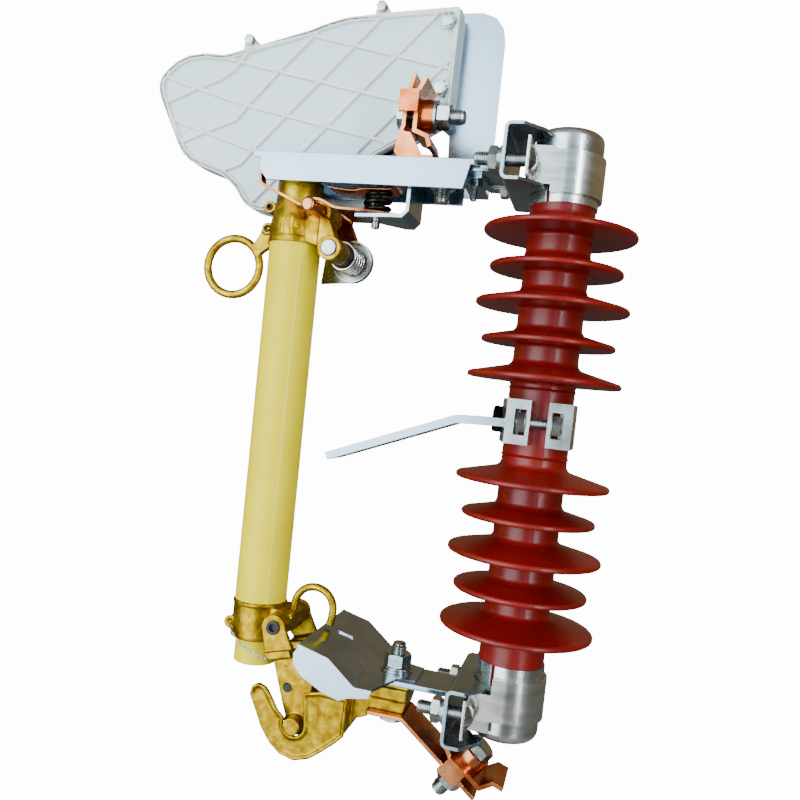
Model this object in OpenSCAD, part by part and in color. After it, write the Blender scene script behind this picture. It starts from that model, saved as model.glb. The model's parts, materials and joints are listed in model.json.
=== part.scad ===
// Load-break drop-out expulsion fuse on a ribbed silicone insulator.
// Built around the insulator: its axis is X = Y = 0 and its middle is Z = 0, +X points
// away from the fuse tube and +Y to the arc chute. place() then moves the whole model so
// that the origin lies on the underside of the mounting bar, midway between its two holes.

/* [Insulator] */
// Diameter of the silicone core between the sheds
core_d = 47; // [40:1:54]
// Diameter of the large sheds
shed_big_d = 110; // [90:1:124]
// Diameter of the small sheds
shed_small_d = 96; // [80:1:110]
// Distance between neighbouring sheds
shed_pitch = 26.3; // [22:0.1:27]
// Distance between the two middle sheds
shed_gap = 73; // [66:1:76]
// Number of sheds on each side of the clamp
sheds_per_end = 5; // [3:1:5]
// Thickness of a shed at its rim
shed_rim_t = 4; // [3:0.5:5]
// Slope of the upper side of a shed, in degrees
shed_slope = 14; // [8:1:18]
// Length of the silicone sleeve above the middle
sleeve_top = 160; // [156:1:164]
// Length of the silicone sleeve below the middle
sleeve_bottom = 166; // [160:1:170]

/* [End fittings] */
// Outer diameter of the steel end caps
cap_d = 49; // [46:0.5:56]
// Wall of the end caps
cap_wall = 2; // [1.5:0.5:3]
// Length of an end cap
cap_len = 54; // [50:1:60]
// Width of the slit in the open end of a cap
slit_w = 2.5; // [1.5:0.5:4]
// Thickness of the strap bands
strap_t = 2.2; // [1.5:0.1:3]
// Height of the strap bands
strap_h = 30; // [26:1:32]
// Width of the channel brackets across the insulator
bracket_w = 91; // [84:1:100]
// Height of the channel brackets
bracket_h = 40; // [38:1:44]
// Plate thickness of the channel brackets
bracket_t = 2.5; // [2:0.5:3.5]
// Distance between the two bolts of a bracket
bracket_bolt_span = 72; // [66:1:76]
// Diameter of the bracket bolts
m10_d = 10; // [8:1:12]

/* [Mid clamp and mounting bar] */
// Height of the mid clamp
clamp_h = 31; // [24:1:36]
// Wall of the clamp halves
clamp_t = 2.8; // [2:0.1:3.5]
// Gap between the lugs of the clamp halves
clamp_gap = 12; // [8:1:16]
// Width of the mounting bar
bar_w = 40; // [34:1:50]
// Thickness of the mounting bar
bar_t = 6; // [4:0.5:8]
// Length of the sloping part of the mounting bar
bar_slope_len = 102; // [96:1:130]
// Slope of the bar, in degrees
bar_slope = 22.5; // [15:0.5:30]
// Diameter of the two bar holes
bar_hole_d = 14; // [10:0.5:18]
// Distance between the two bar holes
bar_hole_span = 51; // [40:1:60]

/* [Top contact] */
// Length of the hood channel
hood_len = 173; // [168:1:180]
// Outer width of the hood channel
hood_w = 50; // [48:1:52]
// Depth of the hood channel
hood_h = 22; // [16:1:24]
// Plate thickness of the hood
hood_t = 2.5; // [2:0.5:3]
// Width of the arms
arm_w = 38; // [30:1:42]
// Thickness of the arms
arm_t = 4; // [3:0.5:5]
// Width of the copper leaf over the coil spring
leaf_w = 22; // [18:1:26]
// Thickness of the copper contact strip and leaf
strip_t = 1.6; // [1:0.1:2]
// Outer diameter of the coil spring over the strip
coil_d = 22; // [18:1:24]
// Wire diameter of the coil spring
coil_wire = 3.8; // [3:0.2:4.2]

/* [Arc chute] */
// Thickness of the arc chute over both halves
chute_w = 24; // [22:1:28]
// Thickness of the chute panels
chute_panel_t = 2.5; // [2:0.5:3]
// Height of the ribs on the chute panels
chute_rib_h = 3; // [1:0.5:3]
// Width of the ribs
chute_rib_w = 3; // [2:0.2:4]
// Width of the rim
chute_rim_w = 4.4; // [3:0.2:5]

/* [Fuse holder] */
// Outer diameter of the fuse tube
tube_d = 40; // [36:0.5:42]
// Diameter of the tube's end in the lower casting and below it
stub_d = 33; // [31:0.5:34]
// Bore of the fuse tube
tube_bore = 24; // [16:0.5:26]
// Lean of the closed tube towards the pull ring, in degrees
tube_lean = 0.9; // [0:0.1:1.5]
// Diameter of the copper contact pin
pin_d = 11; // [10:0.5:12]
// Diameter of the bosses on the upper casting
boss_d = 18; // [16:0.5:19]
// Inner diameter of the pull ring
ring_hole_d = 38.5; // [34:0.5:40]
// Bar diameter of the pull ring
ring_bar_d = 6.5; // [6:0.5:8]
// Diameter of the trunnion
trunnion_d = 13; // [11:0.5:14]
// Thickness of the link's ears
ear_t = 4; // [3:0.5:5]
// Distance between the outer faces of the link's ears
link_w = 56; // [52:1:58]
// Diameter of the toggle pin
toggle_pin_d = 9; // [7:0.5:10]
// Bar diameter of the lift loop
loop_bar_d = 6; // [5:0.5:7]

/* [Hinge] */
// Distance between the outer faces of the two hooks
hook_span = 54; // [50:1:60]
// Thickness of a hook plate
hook_t = 5; // [4:0.5:6]
// Width of the shield plate
shield_w = 104; // [90:1:110]
// Plate thickness of the shield
shield_t = 2; // [1.5:0.5:3]

/* [Terminals] */
// Thickness of the copper terminal plates
copper_t = 3; // [2:0.5:4]
// Width of the copper terminal plates
copper_w = 34; // [28:1:38]
// Diameter of the terminal bolts
m12_d = 12; // [10:0.5:12]
// Height of the clamp plates over the terminal plates
clamp_rise = 8.5; // [7:0.5:10]
// Angle of the bottom terminal below the horizontal, in degrees
bottom_terminal_angle = 37.6; // [30:0.2:45]

/* [Hidden] */
$fn = 64;
// Clearance round bolts, and between curved faces that only pass each other
fit_gap = 0.25;
running_gap = 0.05;
// Extra length of a cutter past the face that it cuts
over = 1;

// Insulator and end fittings
core_r = core_d / 2;
cap_r = cap_d / 2;
cap_bore_r = cap_r - cap_wall;
neck_r = cap_bore_r - fit_gap;
cap_round = 7;
root_fillet = 3;
bead_r = 0.9;
bead_offset = 24;
slit_angle = 246;
slit_depth = 16;
strap_r = cap_r + fit_gap;
strap_out_r = strap_r + strap_t;
ear_x = -25;
ear_h = 27;
ear_reach = bracket_bolt_span / 2 + 11;
arm_band_x = -9;
// Middle heights of the band, the ears, the channel and the bolts of each end
top_levels = [181, 184.5, 188, 184];
bottom_levels = [-189, -199, -201, -199];
bracket_top_x = -42;
bracket_bottom_x = -38;
bracket_corner = 5;
bracket_lip = 13;
saddle_r = cap_r + 0.6;
horn_x = -11;
horn_y = 22;
nut10_af = 16;
nut10_h = 8;
head10_d = 18;
head10_h = 5;
washer10_d = 19;
washer_t = 1.6;
bracket_bolt_end = 20;

// Mid clamp and bar
clamp_z = 5.5;
clamp_r = core_r + fit_gap;
clamp_out_r = clamp_r + clamp_t;
clamp_mid_x = 2.5;
lug_y = 34.5;
lug_x = 20;
left_lug_x = clamp_mid_x - clamp_gap / 2 - clamp_t;
right_lug_x = clamp_mid_x + clamp_gap / 2 + clamp_t;
right_end_x = lug_x + 2 * clamp_mid_x;
clamp_bolt_d = 8;
clamp_bolt_y = core_r + clamp_bolt_d / 2 + 2 * fit_gap + 1.4;
clamp_nut_af = 13;
clamp_nut_h = 6.5;
clamp_window_w = 7.5;
clamp_window_h = 18;
bar_bend_x = -58;
bar_bend_z = 5;
bar_root_rise = 2.5;
bar_notch_w = 22.5;
bar_notch_x = -36;
bar_head_af = 19;
bar_head_h = 6;
bar_hole_mid = 64.4;
// The bar's sloping direction and the origin on its underside
bar_dx = -cos(bar_slope);
bar_dz = -sin(bar_slope);
origin_x = bar_bend_x + bar_hole_mid * bar_dx - bar_t * bar_dz;
origin_z = bar_bend_z + bar_hole_mid * bar_dz + bar_t * bar_dx;

// Top contact
hood_top_z = 187;
hood_low_z = hood_top_z - hood_h;
hood_right_x = -61;
hood_left_x = hood_right_x - hood_len;
hood_flare = 1.5;
hood_bolt_x = -90;
hood_bolt_low = 160;
hood_head_d = 24;
foot_bolt_x = -66;
foot_bolt_low = 163;
m6_d = 6;
nut6_af = 10;
nut6_h = 5;
nut12_af = 18;
nut12_h = 10;
head12_h = 7.5;
arm_top_z = hood_top_z - hood_t;
arm_left_x = -108;
arm_low_z = arm_top_z - arm_t;
coil_x = -139;
coil_turns = 3;
strip_z = 146.7;
strip_low = strip_z - strip_t / 2;
leaf_z = 167;
fork_x = -165;
fork_gap = 2 * 18.8;
fork_far_y = 25.4;
leg_t = 2.5;
hook_x = -110;
hook_half_w = 21;

// Arc chute
chute_y = hood_w / 2 + 1.2;
chute_mid_y = chute_y + chute_w / 2;
chute_far_y = chute_y + chute_w;
chute_right_x = -98;
plate_t = 2;
foot_t = 2.5;
foot_left_x = -77;
foot_right_x = -63;
chute_screw_x = -106;
chute_screw_z = [310, 257];
// Outline of the chute, anticlockwise from its upper right corner
chute_outline = [
    [chute_right_x, 322], [-150, 318], [-190, 314], [-206, 309.5], [-223, 303], [-262, 292],
    [-296, 282.5], [-314, 284], [-329, 282], [-340, 277], [-349, 269], [-354, 262], [-355, 254],
    [-352, 245], [-338, 219], [-332, 208], [-326, 199], [-318, 192], [-308, 188], [-288, 182],
    [-280, 177], [-272, 170], [-266, 161], [-260, 156], [-248, 153], [-214, 158], [-158, 158],
    [-156, 202], [chute_right_x, 237]
];
// Hollow inside it, open to the left and below
chute_open_outline = [
    [-102, 317], [-150, 313], [-189, 309], [-205, 304.5], [-222, 298], [-262, 287],
    [-297, 277.5], [-312, 278.5], [-327, 276.5], [-337, 272.5], [-345, 265.5], [-350, 254],
    [-362, 246], [-362, 140], [-102, 140]
];
chute_falling_ribs = [
    [[-226, 302.7], [-98, 274.6]], [[-300, 280.6], [-98, 238]],
    [[-350, 264], [-273, 241], [-120, 208]], [[-341, 227.5], [-262, 203.5], [-140, 177]]
];
chute_rising_ribs = [
    [[-350, 240], [-318, 255], [-297, 263], [-286, 271], [-276, 285], [-264, 294]],
    [[-333, 205], [-306, 217.5], [-280, 228], [-271, 241], [-246, 269.5], [-208, 311]],
    [[-291, 182], [-271, 191], [-262, 203], [-181, 293], [-157, 319]],
    [[-261, 156], [-112, 321]], [[-213, 157], [-98, 285]]
];

// Fuse holder
tube_x = -197.6;
tube_bottom_z = -204;
upper_low_z = 121;
upper_top_z = 171;
upper_step_z = 139;
upper_r = tube_d / 2 + 0.8;
upper_small_r = 17.8;
upper_taper = 8;
upper_roof_t = 6;
tube_top_z = upper_step_z - 1;
head_bore_d = 20;
pin_x = -180;
pin_z = 145.5;
pin_near_y = -40;
pin_far_y = 24;
pin_boss_y = 14;
pivot_x = -165;
pivot_z = 117;
pivot_near_y = -26;
pivot_boss_len = 22;
blade_y = chute_mid_y;
blade_t = 3;
blade_tip_x = -178;
blade_tip_z = 252;
blade_w = 14;
blade_root_w = 20;
blade_bend = [-180, 148];
shaft_d = 11;
pivot_boss_d = 19;
lever_r = 17;
lever_rim_t = 1.8;
lever_rim_h = 3.5;
torsion_d = 25;
torsion_wire = 3;
torsion_turns = 7;
ring_x = -252.8;
ring_z = 101.2;
ring_plate_t = 8;
ring_lug_x = -225.4;
ring_lug_z = [132.5, 149.5];
ring_lug_r = 5;
roll_pin_d = 5.5;
roll_pin_out = 0.6;
ferrule_low_z = -184.5;
ferrule_top_z = -156;
ferrule_r = tube_d / 2 + 0.4;
toggle_x = tube_x + tube_d / 2 + 3.6;
toggle_z = -168;
trunnion_x = -151;
trunnion_z = -237;
hub_r = 9.5;
link_gap = 0.5;
link_hole_d = 6.5;
cheek_step = 12;
cheek_t = 6;
toggle_pin_out = 1.5;
loop_x = -153.5;
loop_z = -155.5;
loop_r = 15.5;
loop_root_z = -163;
loop_foot_z = -164;
wire_d = 1.6;
wire_sides = 8;
wire_lug_x = -215.5;
wire_lug_z = -174.5;
wire_lug_d = 8;
wire_lug_y = [-13, -4];
// Route of the fuse link's tail, from the lug to the toggle link
wire_route = [[-215.5, -14, -175.5], [-208, -21, -180], [-201, -22, -186], [-192, -22.5, -190.5],
              [-184, -22.8, -193], [-177, -23, -194]];

// Hinge
shield_flat_z = -190;
shield_outline = [[-144, -168], [-122, -173.5], [-101, shield_flat_z]];
shield_end_x = -66;
shield_h = 22;
shield_slot_x = [-132, -122];
shield_slot_y = 2;
shield_slot_w = 5;
bottom_arm_top_z = shield_flat_z - shield_t;
bottom_arm_left_x = -100;
bottom_arm_low_z = bottom_arm_top_z - arm_t;
block_step_z = bottom_arm_low_z - 12;
block_low_z = bottom_arm_low_z - 20.5;
block_half_w = 15;
hinge_bolt_x = -83;
hinge_stud = 21;
hook_right_x = -112;
hook_outline = [
    [hook_right_x, -236], [-118, -242], [-127, -250], [-136, -257], [-147, -260.5], [-158, -258],
    [-166, -252], [-174, -242], [-181, -228], [-185.5, -220], [-184.5, -214.5], [-181, -212],
    [-176, -213.5], [-172, -218], [-166, -227], [-160, -236], [-145, -222], [-143.5, -212],
    [-132, -209], [hook_right_x, -210]
];

// Terminals: both have the same clamp and bolt, in a frame with Z along the bolt from
// the middle of the terminal plate to the clamp, and X down the plate
top_terminal_x = -120;
terminal_bolt_z = 223.5;
terminal_y = -4;
bottom_terminal_x = -28.3;
bottom_terminal_z = block_low_z - 34.5;
terminal_strap_z = block_low_z - copper_t / 2;
terminal_washer_t = 2;
clamp_boss_h = 11;
washer12_d = 24;
clamp_out_z = clamp_rise + clamp_boss_h;
clamp_tab_y = copper_w / 2 + fit_gap;
terminal_thread = 42;
tab_low_x = -13;
tab_high_x = 3;

// ---------------------------------------------------------------- helpers
module place() translate([-origin_x, 0, -origin_z]) children();

// Each point of an open path, moved t / 2 to its left, with square ends t / 2 longer
function unit(v) = v / norm(v);
function left_of(v) = [-v[1], v[0]];
function step_dir(points, i) = unit(points[i + 1] - points[i]);
function mitre(a, b) = (left_of(a) + left_of(b)) / (1 + a * b);
function left_side(points, t) = let (last = len(points) - 1) [
    for (i = [0 : last]) let (
        a = step_dir(points, max(i - 1, 0)),
        b = step_dir(points, min(i, last - 1)),
        end = i == 0 ? -1 : i == last ? 1 : 0
    ) points[i] + t / 2 * (mitre(a, b) + end * b)
];
function reversed(points) = [for (i = [len(points) - 1 : -1 : 0]) points[i]];
// Each point of a closed outline that runs anticlockwise, moved inward by w
function inset(points, w) = let (n = len(points)) [
    for (i = [0 : n - 1]) points[i] + w * mitre(
        unit(points[i] - points[(i + n - 1) % n]), unit(points[(i + 1) % n] - points[i]))
];

// A strip of even thickness t along points in a plane
module strip_2d(points, t)
    polygon(concat(left_side(points, t), left_side(reversed(points), t)));

// Raises an X-Z outline to a solid between two Y values
module xz_plate(y_low, y_high)
    translate([0, y_high, 0]) rotate([90, 0, 0]) linear_extrude(y_high - y_low) children();

// Its copies on both sides, with their outer faces at +-y_out
module side_plates(y_out, t) for (y = [-y_out, y_out - t]) xz_plate(y, y + t) children();

// An outline with its mirror image across Y = 0, from points that start and end there
function mirrored(points) =
    concat(points, [for (i = [len(points) - 2 : -1 : 1]) [points[i][0], -points[i][1]]]);

// Children and their mirror image across Y = 0
module both_sides() for (side = [0, 1]) mirror([0, side]) children();

// Rods and hexagons along the axes
module y_rod(x, z, d, y_low, y_high)
    translate([x, y_high, z]) rotate([90, 0, 0]) cylinder(d = d, h = y_high - y_low);
module y_hex(x, z, af, y_low, y_high)
    translate([x, y_high, z]) rotate([90, 0, 0])
        cylinder(d = af / cos(30), h = y_high - y_low, $fn = 6);
module x_rod(y, z, d, x_low, x_high)
    translate([x_low, y, z]) rotate([0, 90, 0]) cylinder(d = d, h = x_high - x_low);
module x_hex(y, z, af, x_low, x_high)
    translate([x_low, y, z]) rotate([0, 90, 0])
        cylinder(d = af / cos(30), h = x_high - x_low, $fn = 6);
module z_rod(x, y, d, z_low, z_high)
    translate([x, y, z_low]) cylinder(d = d, h = z_high - z_low);
module z_hex(x, y, af, z_low, z_high)
    translate([x, y, z_low]) cylinder(d = af / cos(30), h = z_high - z_low, $fn = 6);

// Domed head of a carriage bolt, with its flat side down
module carriage_head(d, h) {
    dome_r = (pow(d / 2, 2) + h * h) / (2 * h);
    intersection() {
        translate([0, 0, h - dome_r]) sphere(dome_r);
        cylinder(d = d, h = h);
    }
}

// Concave fillet for a corner between the axes
module fillet_2d(r) difference() {
    translate([-over, -over]) square(r + over);
    translate([r, r]) circle(r);
}

// ---------------------------------------------------------------- insulator
module shed_profile(d) {
    rim = shed_rim_t / 2;
    reach = d / 2 - rim;
    rise = (reach - core_r) * tan(shed_slope);
    polygon([[core_r - over, -rim], [reach, -rim], [reach, rim], [core_r - over, rim + rise]]);
    translate([reach, 0]) circle(rim, $fn = 24);
    translate([core_r, -rim]) mirror([0, 1]) fillet_2d(root_fillet);
}
module insulator() color("firebrick") place() rotate_extrude() {
    translate([0, -sleeve_bottom]) square([core_r, sleeve_top + sleeve_bottom]);
    translate([0, -sleeve_bottom - cap_len + cap_round])
        square([neck_r, sleeve_top + sleeve_bottom + 2 * (cap_len - cap_round)]);
    for (i = [0 : sheds_per_end - 1], side = [-1, 1])
        translate([0, side * (shed_gap / 2 + i * shed_pitch)])
            shed_profile(i % 2 == 0 ? shed_big_d : shed_small_d);
    for (side = [-1, 1])
        translate([core_r, clamp_z + side * bead_offset]) circle(bead_r, $fn = 24);
}

// ---------------------------------------------------------------- end fittings
module cap_shape() difference() {
    rotate_extrude() difference() {
        union() {
            square([cap_r, cap_len - cap_round]);
            square([cap_r - cap_round, cap_len]);
            translate([cap_r - cap_round, cap_len - cap_round]) circle(cap_round);
        }
        union() {
            translate([-over, -over]) square([cap_bore_r + over, cap_len - cap_round + over]);
            translate([-over, -over])
                square([cap_r - cap_round + over, cap_len - cap_wall + over]);
            translate([cap_r - cap_round, cap_len - cap_round]) circle(cap_round - cap_wall);
        }
    }
    rotate(slit_angle) translate([cap_bore_r - 3 * over, -slit_w / 2, -over])
        cube([cap_wall + 6 * over, slit_w, slit_depth]);
}
module top_cap() color("silver") place() translate([0, 0, sleeve_top]) cap_shape();
module bottom_cap() color("silver") place()
    translate([0, 0, -sleeve_bottom]) mirror([0, 0, 1]) cap_shape();

// Band round the cap, with two arms to ear plates that stand across X
module strap_shape(levels) difference() {
    union() {
        translate([0, 0, levels[0] - strap_h / 2]) linear_extrude(strap_h) {
            intersection() {
                difference() {
                    circle(strap_out_r);
                    circle(strap_r);
                }
                translate([0, -strap_out_r]) square(2 * strap_out_r);
            }
            both_sides() strap_arm_2d(arm_band_x, 0);
        }
        translate([0, 0, levels[1] - ear_h / 2]) linear_extrude(ear_h) both_sides() {
            strap_arm_2d(ear_x, arm_band_x + over);
            translate([ear_x, strap_r]) square([strap_t, ear_reach - strap_r]);
        }
    }
    both_sides() x_rod(bracket_bolt_span / 2, levels[3], m10_d + 2 * fit_gap, ear_x - over, 0);
}
module strap_arm_2d(x_low, x_high) translate([x_low, strap_r]) square([x_high - x_low, strap_t]);
module top_strap() color("gainsboro") place() strap_shape(top_levels);
module bottom_strap() color("gainsboro") place() strap_shape(bottom_levels);

// Channel with its back to the fuse tube and its flanges cut to a saddle round the cap
module bracket_shape(back_x, levels) difference() {
    low_z = levels[2] - bracket_h / 2;
    lip_x = back_x + bracket_lip;
    intersection() {
        xz_plate(-bracket_w / 2, bracket_w / 2) difference() {
            channel_2d(back_x, low_z, bracket_h, bracket_corner);
            channel_2d(back_x + bracket_t, low_z + bracket_t, bracket_h - 2 * bracket_t,
                       bracket_corner - bracket_t);
        }
        translate([0, 0, low_z - over]) linear_extrude(bracket_h + 2 * over) difference() {
            polygon(mirrored([
                [back_x - over, 0], [back_x - over, bracket_w], [lip_x, bracket_w],
                [lip_x, bracket_w / 2], [horn_x - 4, horn_y + 10], [horn_x, horn_y], [horn_x, 0]
            ]));
            circle(saddle_r);
        }
    }
    both_sides() x_rod(bracket_bolt_span / 2, levels[3], m10_d + 2 * fit_gap,
                       back_x - over, back_x + bracket_t + over);
}
module channel_2d(x, z, h, r) {
    translate([x, z + r]) square([2 * bracket_h, h - 2 * r]);
    translate([x + r, z]) square([2 * bracket_h, h]);
    for (corner_z = [z + r, z + h - r]) translate([x + r, corner_z]) circle(r, $fn = 32);
}
module top_bracket() color("lightsteelblue") place() bracket_shape(bracket_top_x, top_levels);
module bottom_bracket() color("lightsteelblue") place()
    bracket_shape(bracket_bottom_x, bottom_levels);

module bracket_bolts(back_x, bolt_z) both_sides() {
    y = bracket_bolt_span / 2;
    head_x = ear_x + strap_t;
    nut_x = back_x - washer_t;
    translate([head_x, y, bolt_z]) rotate([0, 90, 0]) carriage_head(head10_d, head10_h);
    x_rod(y, bolt_z, m10_d, back_x - bracket_bolt_end, head_x + over);
    x_rod(y, bolt_z, washer10_d, nut_x, back_x);
    x_hex(y, bolt_z, nut10_af, nut_x - nut10_h, nut_x);
}
module top_strap_bolts() color("lightgrey") place() bracket_bolts(bracket_top_x, top_levels[3]);
module bottom_strap_bolts() color("lightgrey") place()
    bracket_bolts(bracket_bottom_x, bottom_levels[3]);

// ---------------------------------------------------------------- mid clamp
module clamp_outer(h) {
    translate([0, 0, clamp_z - h / 2]) {
        cylinder(r = clamp_out_r, h = h);
        linear_extrude(h) polygon(mirrored([
            [-clamp_out_r, 0], [-clamp_out_r, clamp_t], [-lug_x, lug_y], [right_end_x, lug_y],
            [clamp_out_r, clamp_t], [clamp_out_r, 0]
        ]));
    }
}
// Pocket behind a lug, open above and below
module lug_pocket(x_low, x_high, y_low)
    translate([x_low, y_low, clamp_z - clamp_h])
        cube([x_high - x_low, lug_y - clamp_t - y_low, 2 * clamp_h]);
module clamp_half(x_low, x_high) difference() {
    intersection() {
        clamp_outer(clamp_h);
        translate([x_low, -2 * lug_y, clamp_z - clamp_h])
            cube([x_high - x_low, 4 * lug_y, 2 * clamp_h]);
    }
    translate([0, 0, clamp_z - clamp_h]) cylinder(r = clamp_r, h = 2 * clamp_h);
    both_sides() {
        lug_pocket(-lug_x + clamp_t, left_lug_x, core_r - clamp_t);
        lug_pocket(right_lug_x, right_end_x - clamp_t, core_r - 2 * clamp_t);
        x_rod(clamp_bolt_y, clamp_z, clamp_bolt_d + 2 * fit_gap, x_low, x_high);
        for (x = [left_lug_x - clamp_window_w - fit_gap, right_lug_x - fit_gap])
            translate([x, lug_y - 2 * clamp_t, clamp_z - clamp_window_h / 2])
                cube([clamp_window_w + 2 * fit_gap, 4 * clamp_t, clamp_window_h]);
    }
}
module mid_clamp_left() color("lightgrey") place() difference() {
    clamp_half(-2 * clamp_out_r, left_lug_x + clamp_t);
    x_rod(0, clamp_z, m10_d + 2 * fit_gap, -2 * clamp_out_r, 0);
}
module mid_clamp_right() color("lightgrey") place()
    clamp_half(right_lug_x - clamp_t, 2 * clamp_out_r);
module mid_clamp_bolts() color("white") place() both_sides() {
    y = clamp_bolt_y;
    x_rod(y, clamp_z, clamp_bolt_d, left_lug_x - clamp_nut_h - over, right_lug_x + over);
    x_hex(y, clamp_z, clamp_nut_af, left_lug_x - clamp_nut_h, left_lug_x);
    x_hex(y, clamp_z, clamp_nut_af, right_lug_x, right_lug_x + clamp_nut_h);
}
// Hexagon head that holds the bar's root against the clamp
module bar_bolt() color("dimgrey") place() {
    x_hex(0, clamp_z, bar_head_af, -clamp_out_r - bar_head_h, -clamp_out_r);
    x_rod(0, clamp_z, m10_d, -clamp_out_r - over, -clamp_r);
}
module bar_2d() {
    root = [0, bar_bend_z + bar_root_rise];
    bend = [bar_bend_x, bar_bend_z];
    tip = bend + bar_slope_len * [bar_dx, bar_dz];
    drop = bar_t * [-bar_dz, bar_dx];
    polygon([root, bend, tip, tip + drop, bend + [bar_t * tan(bar_slope / 2), -bar_t],
             root - [0, bar_t]]);
}
module mounting_bar() color("lightsteelblue") place() difference() {
    xz_plate(-bar_w / 2, bar_w / 2) bar_2d();
    for (side = [-1, 1]) bar_hole(bar_hole_mid + side * bar_hole_span / 2);
    clamp_outer(2 * clamp_h);
    translate([bar_notch_x, -bar_notch_w / 2, -2 * bar_t])
        cube([-bar_notch_x, bar_notch_w, 6 * bar_t]);
}
module bar_hole(along)
    translate([bar_bend_x + along * bar_dx, 0, bar_bend_z + along * bar_dz])
        rotate([0, -bar_slope, 0]) cylinder(d = bar_hole_d, h = 4 * bar_t, center = true);

// ---------------------------------------------------------------- top contact
module hood_bolt_holes(z_low, z_high) {
    z_rod(hood_bolt_x, 0, m12_d + 2 * fit_gap, z_low - over, z_high + over);
    z_rod(foot_bolt_x, 0, m6_d + 2 * fit_gap, z_low - over, z_high + over);
}
module top_arm() color("lightsteelblue") place() difference() {
    translate([arm_left_x, -arm_w / 2, arm_low_z])
        cube([bracket_top_x - arm_left_x, arm_w, arm_t]);
    hood_bolt_holes(arm_low_z, arm_top_z);
}
module hood() color("lightblue") place() difference() {
    translate([hood_left_x, 0, hood_top_z]) rotate([90, 0, 90]) linear_extrude(hood_len)
        hood_section_2d();
    xz_plate(-hood_w, hood_w) {
        polygon([[hood_left_x - over, hood_top_z - 4.5], [hood_left_x + 6, hood_top_z - 5],
                 [hood_left_x + 6, hood_top_z - 11], [hood_left_x + 9, hood_low_z + 5],
                 [hood_left_x + 14, hood_low_z - over], [hood_left_x - over, hood_low_z - over]]);
        polygon([[hood_right_x + over, hood_top_z - 4], [hood_right_x - 5, hood_top_z - 4],
                 [hood_right_x - 9, hood_low_z - over], [hood_right_x + over, hood_low_z - over]]);
    }
    // Cutaway of the far wall over the foot of the chute's plate
    translate([foot_left_x - over, 0, hood_low_z - over])
        cube([hood_right_x - foot_left_x + 2 * over, hood_w, arm_top_z - hood_low_z + over]);
    hood_bolt_holes(arm_top_z, hood_top_z);
}
module hood_section_2d() {
    half = hood_w / 2;
    polygon([[-half, 0], [-half - hood_flare, -hood_h], [-half - hood_flare + hood_t, -hood_h],
             [-half + hood_t, -hood_t], [half - hood_t, -hood_t], [half - hood_t, -hood_h],
             [half, -hood_h], [half, 0]]);
}
module hood_bolts() color("lightgrey") place() {
    z_rod(hood_bolt_x, 0, m12_d, hood_bolt_low, hood_top_z + over);
    translate([hood_bolt_x, 0, hood_top_z]) carriage_head(hood_head_d, head12_h);
    z_hex(hood_bolt_x, 0, nut12_af, arm_low_z - nut12_h, arm_low_z);
    z_rod(foot_bolt_x, 0, m6_d, foot_bolt_low, hood_top_z + over);
    translate([foot_bolt_x, 0, hood_top_z]) carriage_head(2 * m6_d, m6_d / 2);
    z_hex(foot_bolt_x, 0, nut6_af, arm_low_z - foot_t - nut6_h, arm_low_z - foot_t);
}

// Copper fork: a plate over the spring bracket and two prongs that straddle the fuse
// holder's top and hump over its contact pin
module contact_strip() color("peru") place() intersection() {
    xz_plate(-hood_w, hood_w) strip_2d([
        [-226.5, 169], [-224.5, 161], [pin_x - 10, pin_z + 0.5], [pin_x - 6.4, pin_z + 5],
        [pin_x, pin_z + 7.4], [pin_x + 6.4, pin_z + 5], [pin_x + 14, strip_z], [-116, strip_z]
    ], strip_t);
    translate([0, 0, strip_low - 2 * strip_t]) linear_extrude(hood_h + 2 * strip_t) {
        polygon([[fork_x, -28], [-144, -20.5], [-116, -hook_half_w + 4], [-114, -10],
                 [-114, 10], [-116, hook_half_w - 4], [-144, 20.5], [fork_x, fork_far_y]]);
        translate([-2 * tube_d + tube_x, -28]) square([fork_x + over - tube_x + 2 * tube_d, 9.2]);
        translate([-2 * tube_d + tube_x, fork_gap / 2])
            square([fork_x + over - tube_x + 2 * tube_d, fork_far_y - fork_gap / 2]);
    }
}
// Copper leaf from the hood's roof down over the coil spring
module spring_leaf() color("peru") place() xz_plate(-leaf_w / 2, leaf_w / 2) strip_2d([
    [hook_x - 2.5, arm_top_z - strip_t / 2], [hook_x - 9, arm_top_z - strip_t / 2],
    [coil_x + 14, leaf_z], [-177, leaf_z]
], strip_t);
module contact_spring() color("dimgrey") place() {
    low_z = strip_z + strip_t / 2 + coil_wire / 2;
    pitch = (leaf_z - strip_t / 2 - coil_wire / 2 - low_z) / coil_turns;
    mid_r = (coil_d - coil_wire) / 2;
    translate([coil_x, 0, low_z]) rotate_extrude() {
        for (i = [0 : coil_turns]) translate([mid_r, i * pitch]) circle(d = coil_wire, $fn = 24);
        translate([mid_r - coil_wire / 6, 0]) square([coil_wire / 3, coil_turns * pitch]);
    }
}
module spring_hook() color("lightsteelblue") place() {
    difference() {
        intersection() {
            xz_plate(-hook_half_w, hook_half_w) strip_2d([
                [-101, arm_low_z - leg_t / 2], [hook_x, arm_low_z - leg_t / 2],
                [hook_x, strip_low + 3], [hook_x - 4, strip_low - leg_t / 2],
                [-150, strip_low - leg_t / 2]
            ], leg_t);
            translate([0, 0, strip_low - 2 * leg_t]) linear_extrude(2 * hood_h) polygon([
                [hook_x + 12, -hook_half_w], [hook_x + 12, hook_half_w], [-120, hook_half_w],
                [-152, -8], [-152, -16], [-120, -hook_half_w]
            ]);
        }
        z_rod(hood_bolt_x, 0, nut12_af + 5, strip_low, hood_top_z);
    }
    z_rod(coil_x, 0, m6_d, strip_low - leg_t - nut6_h, strip_low - leg_t);
}

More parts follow.
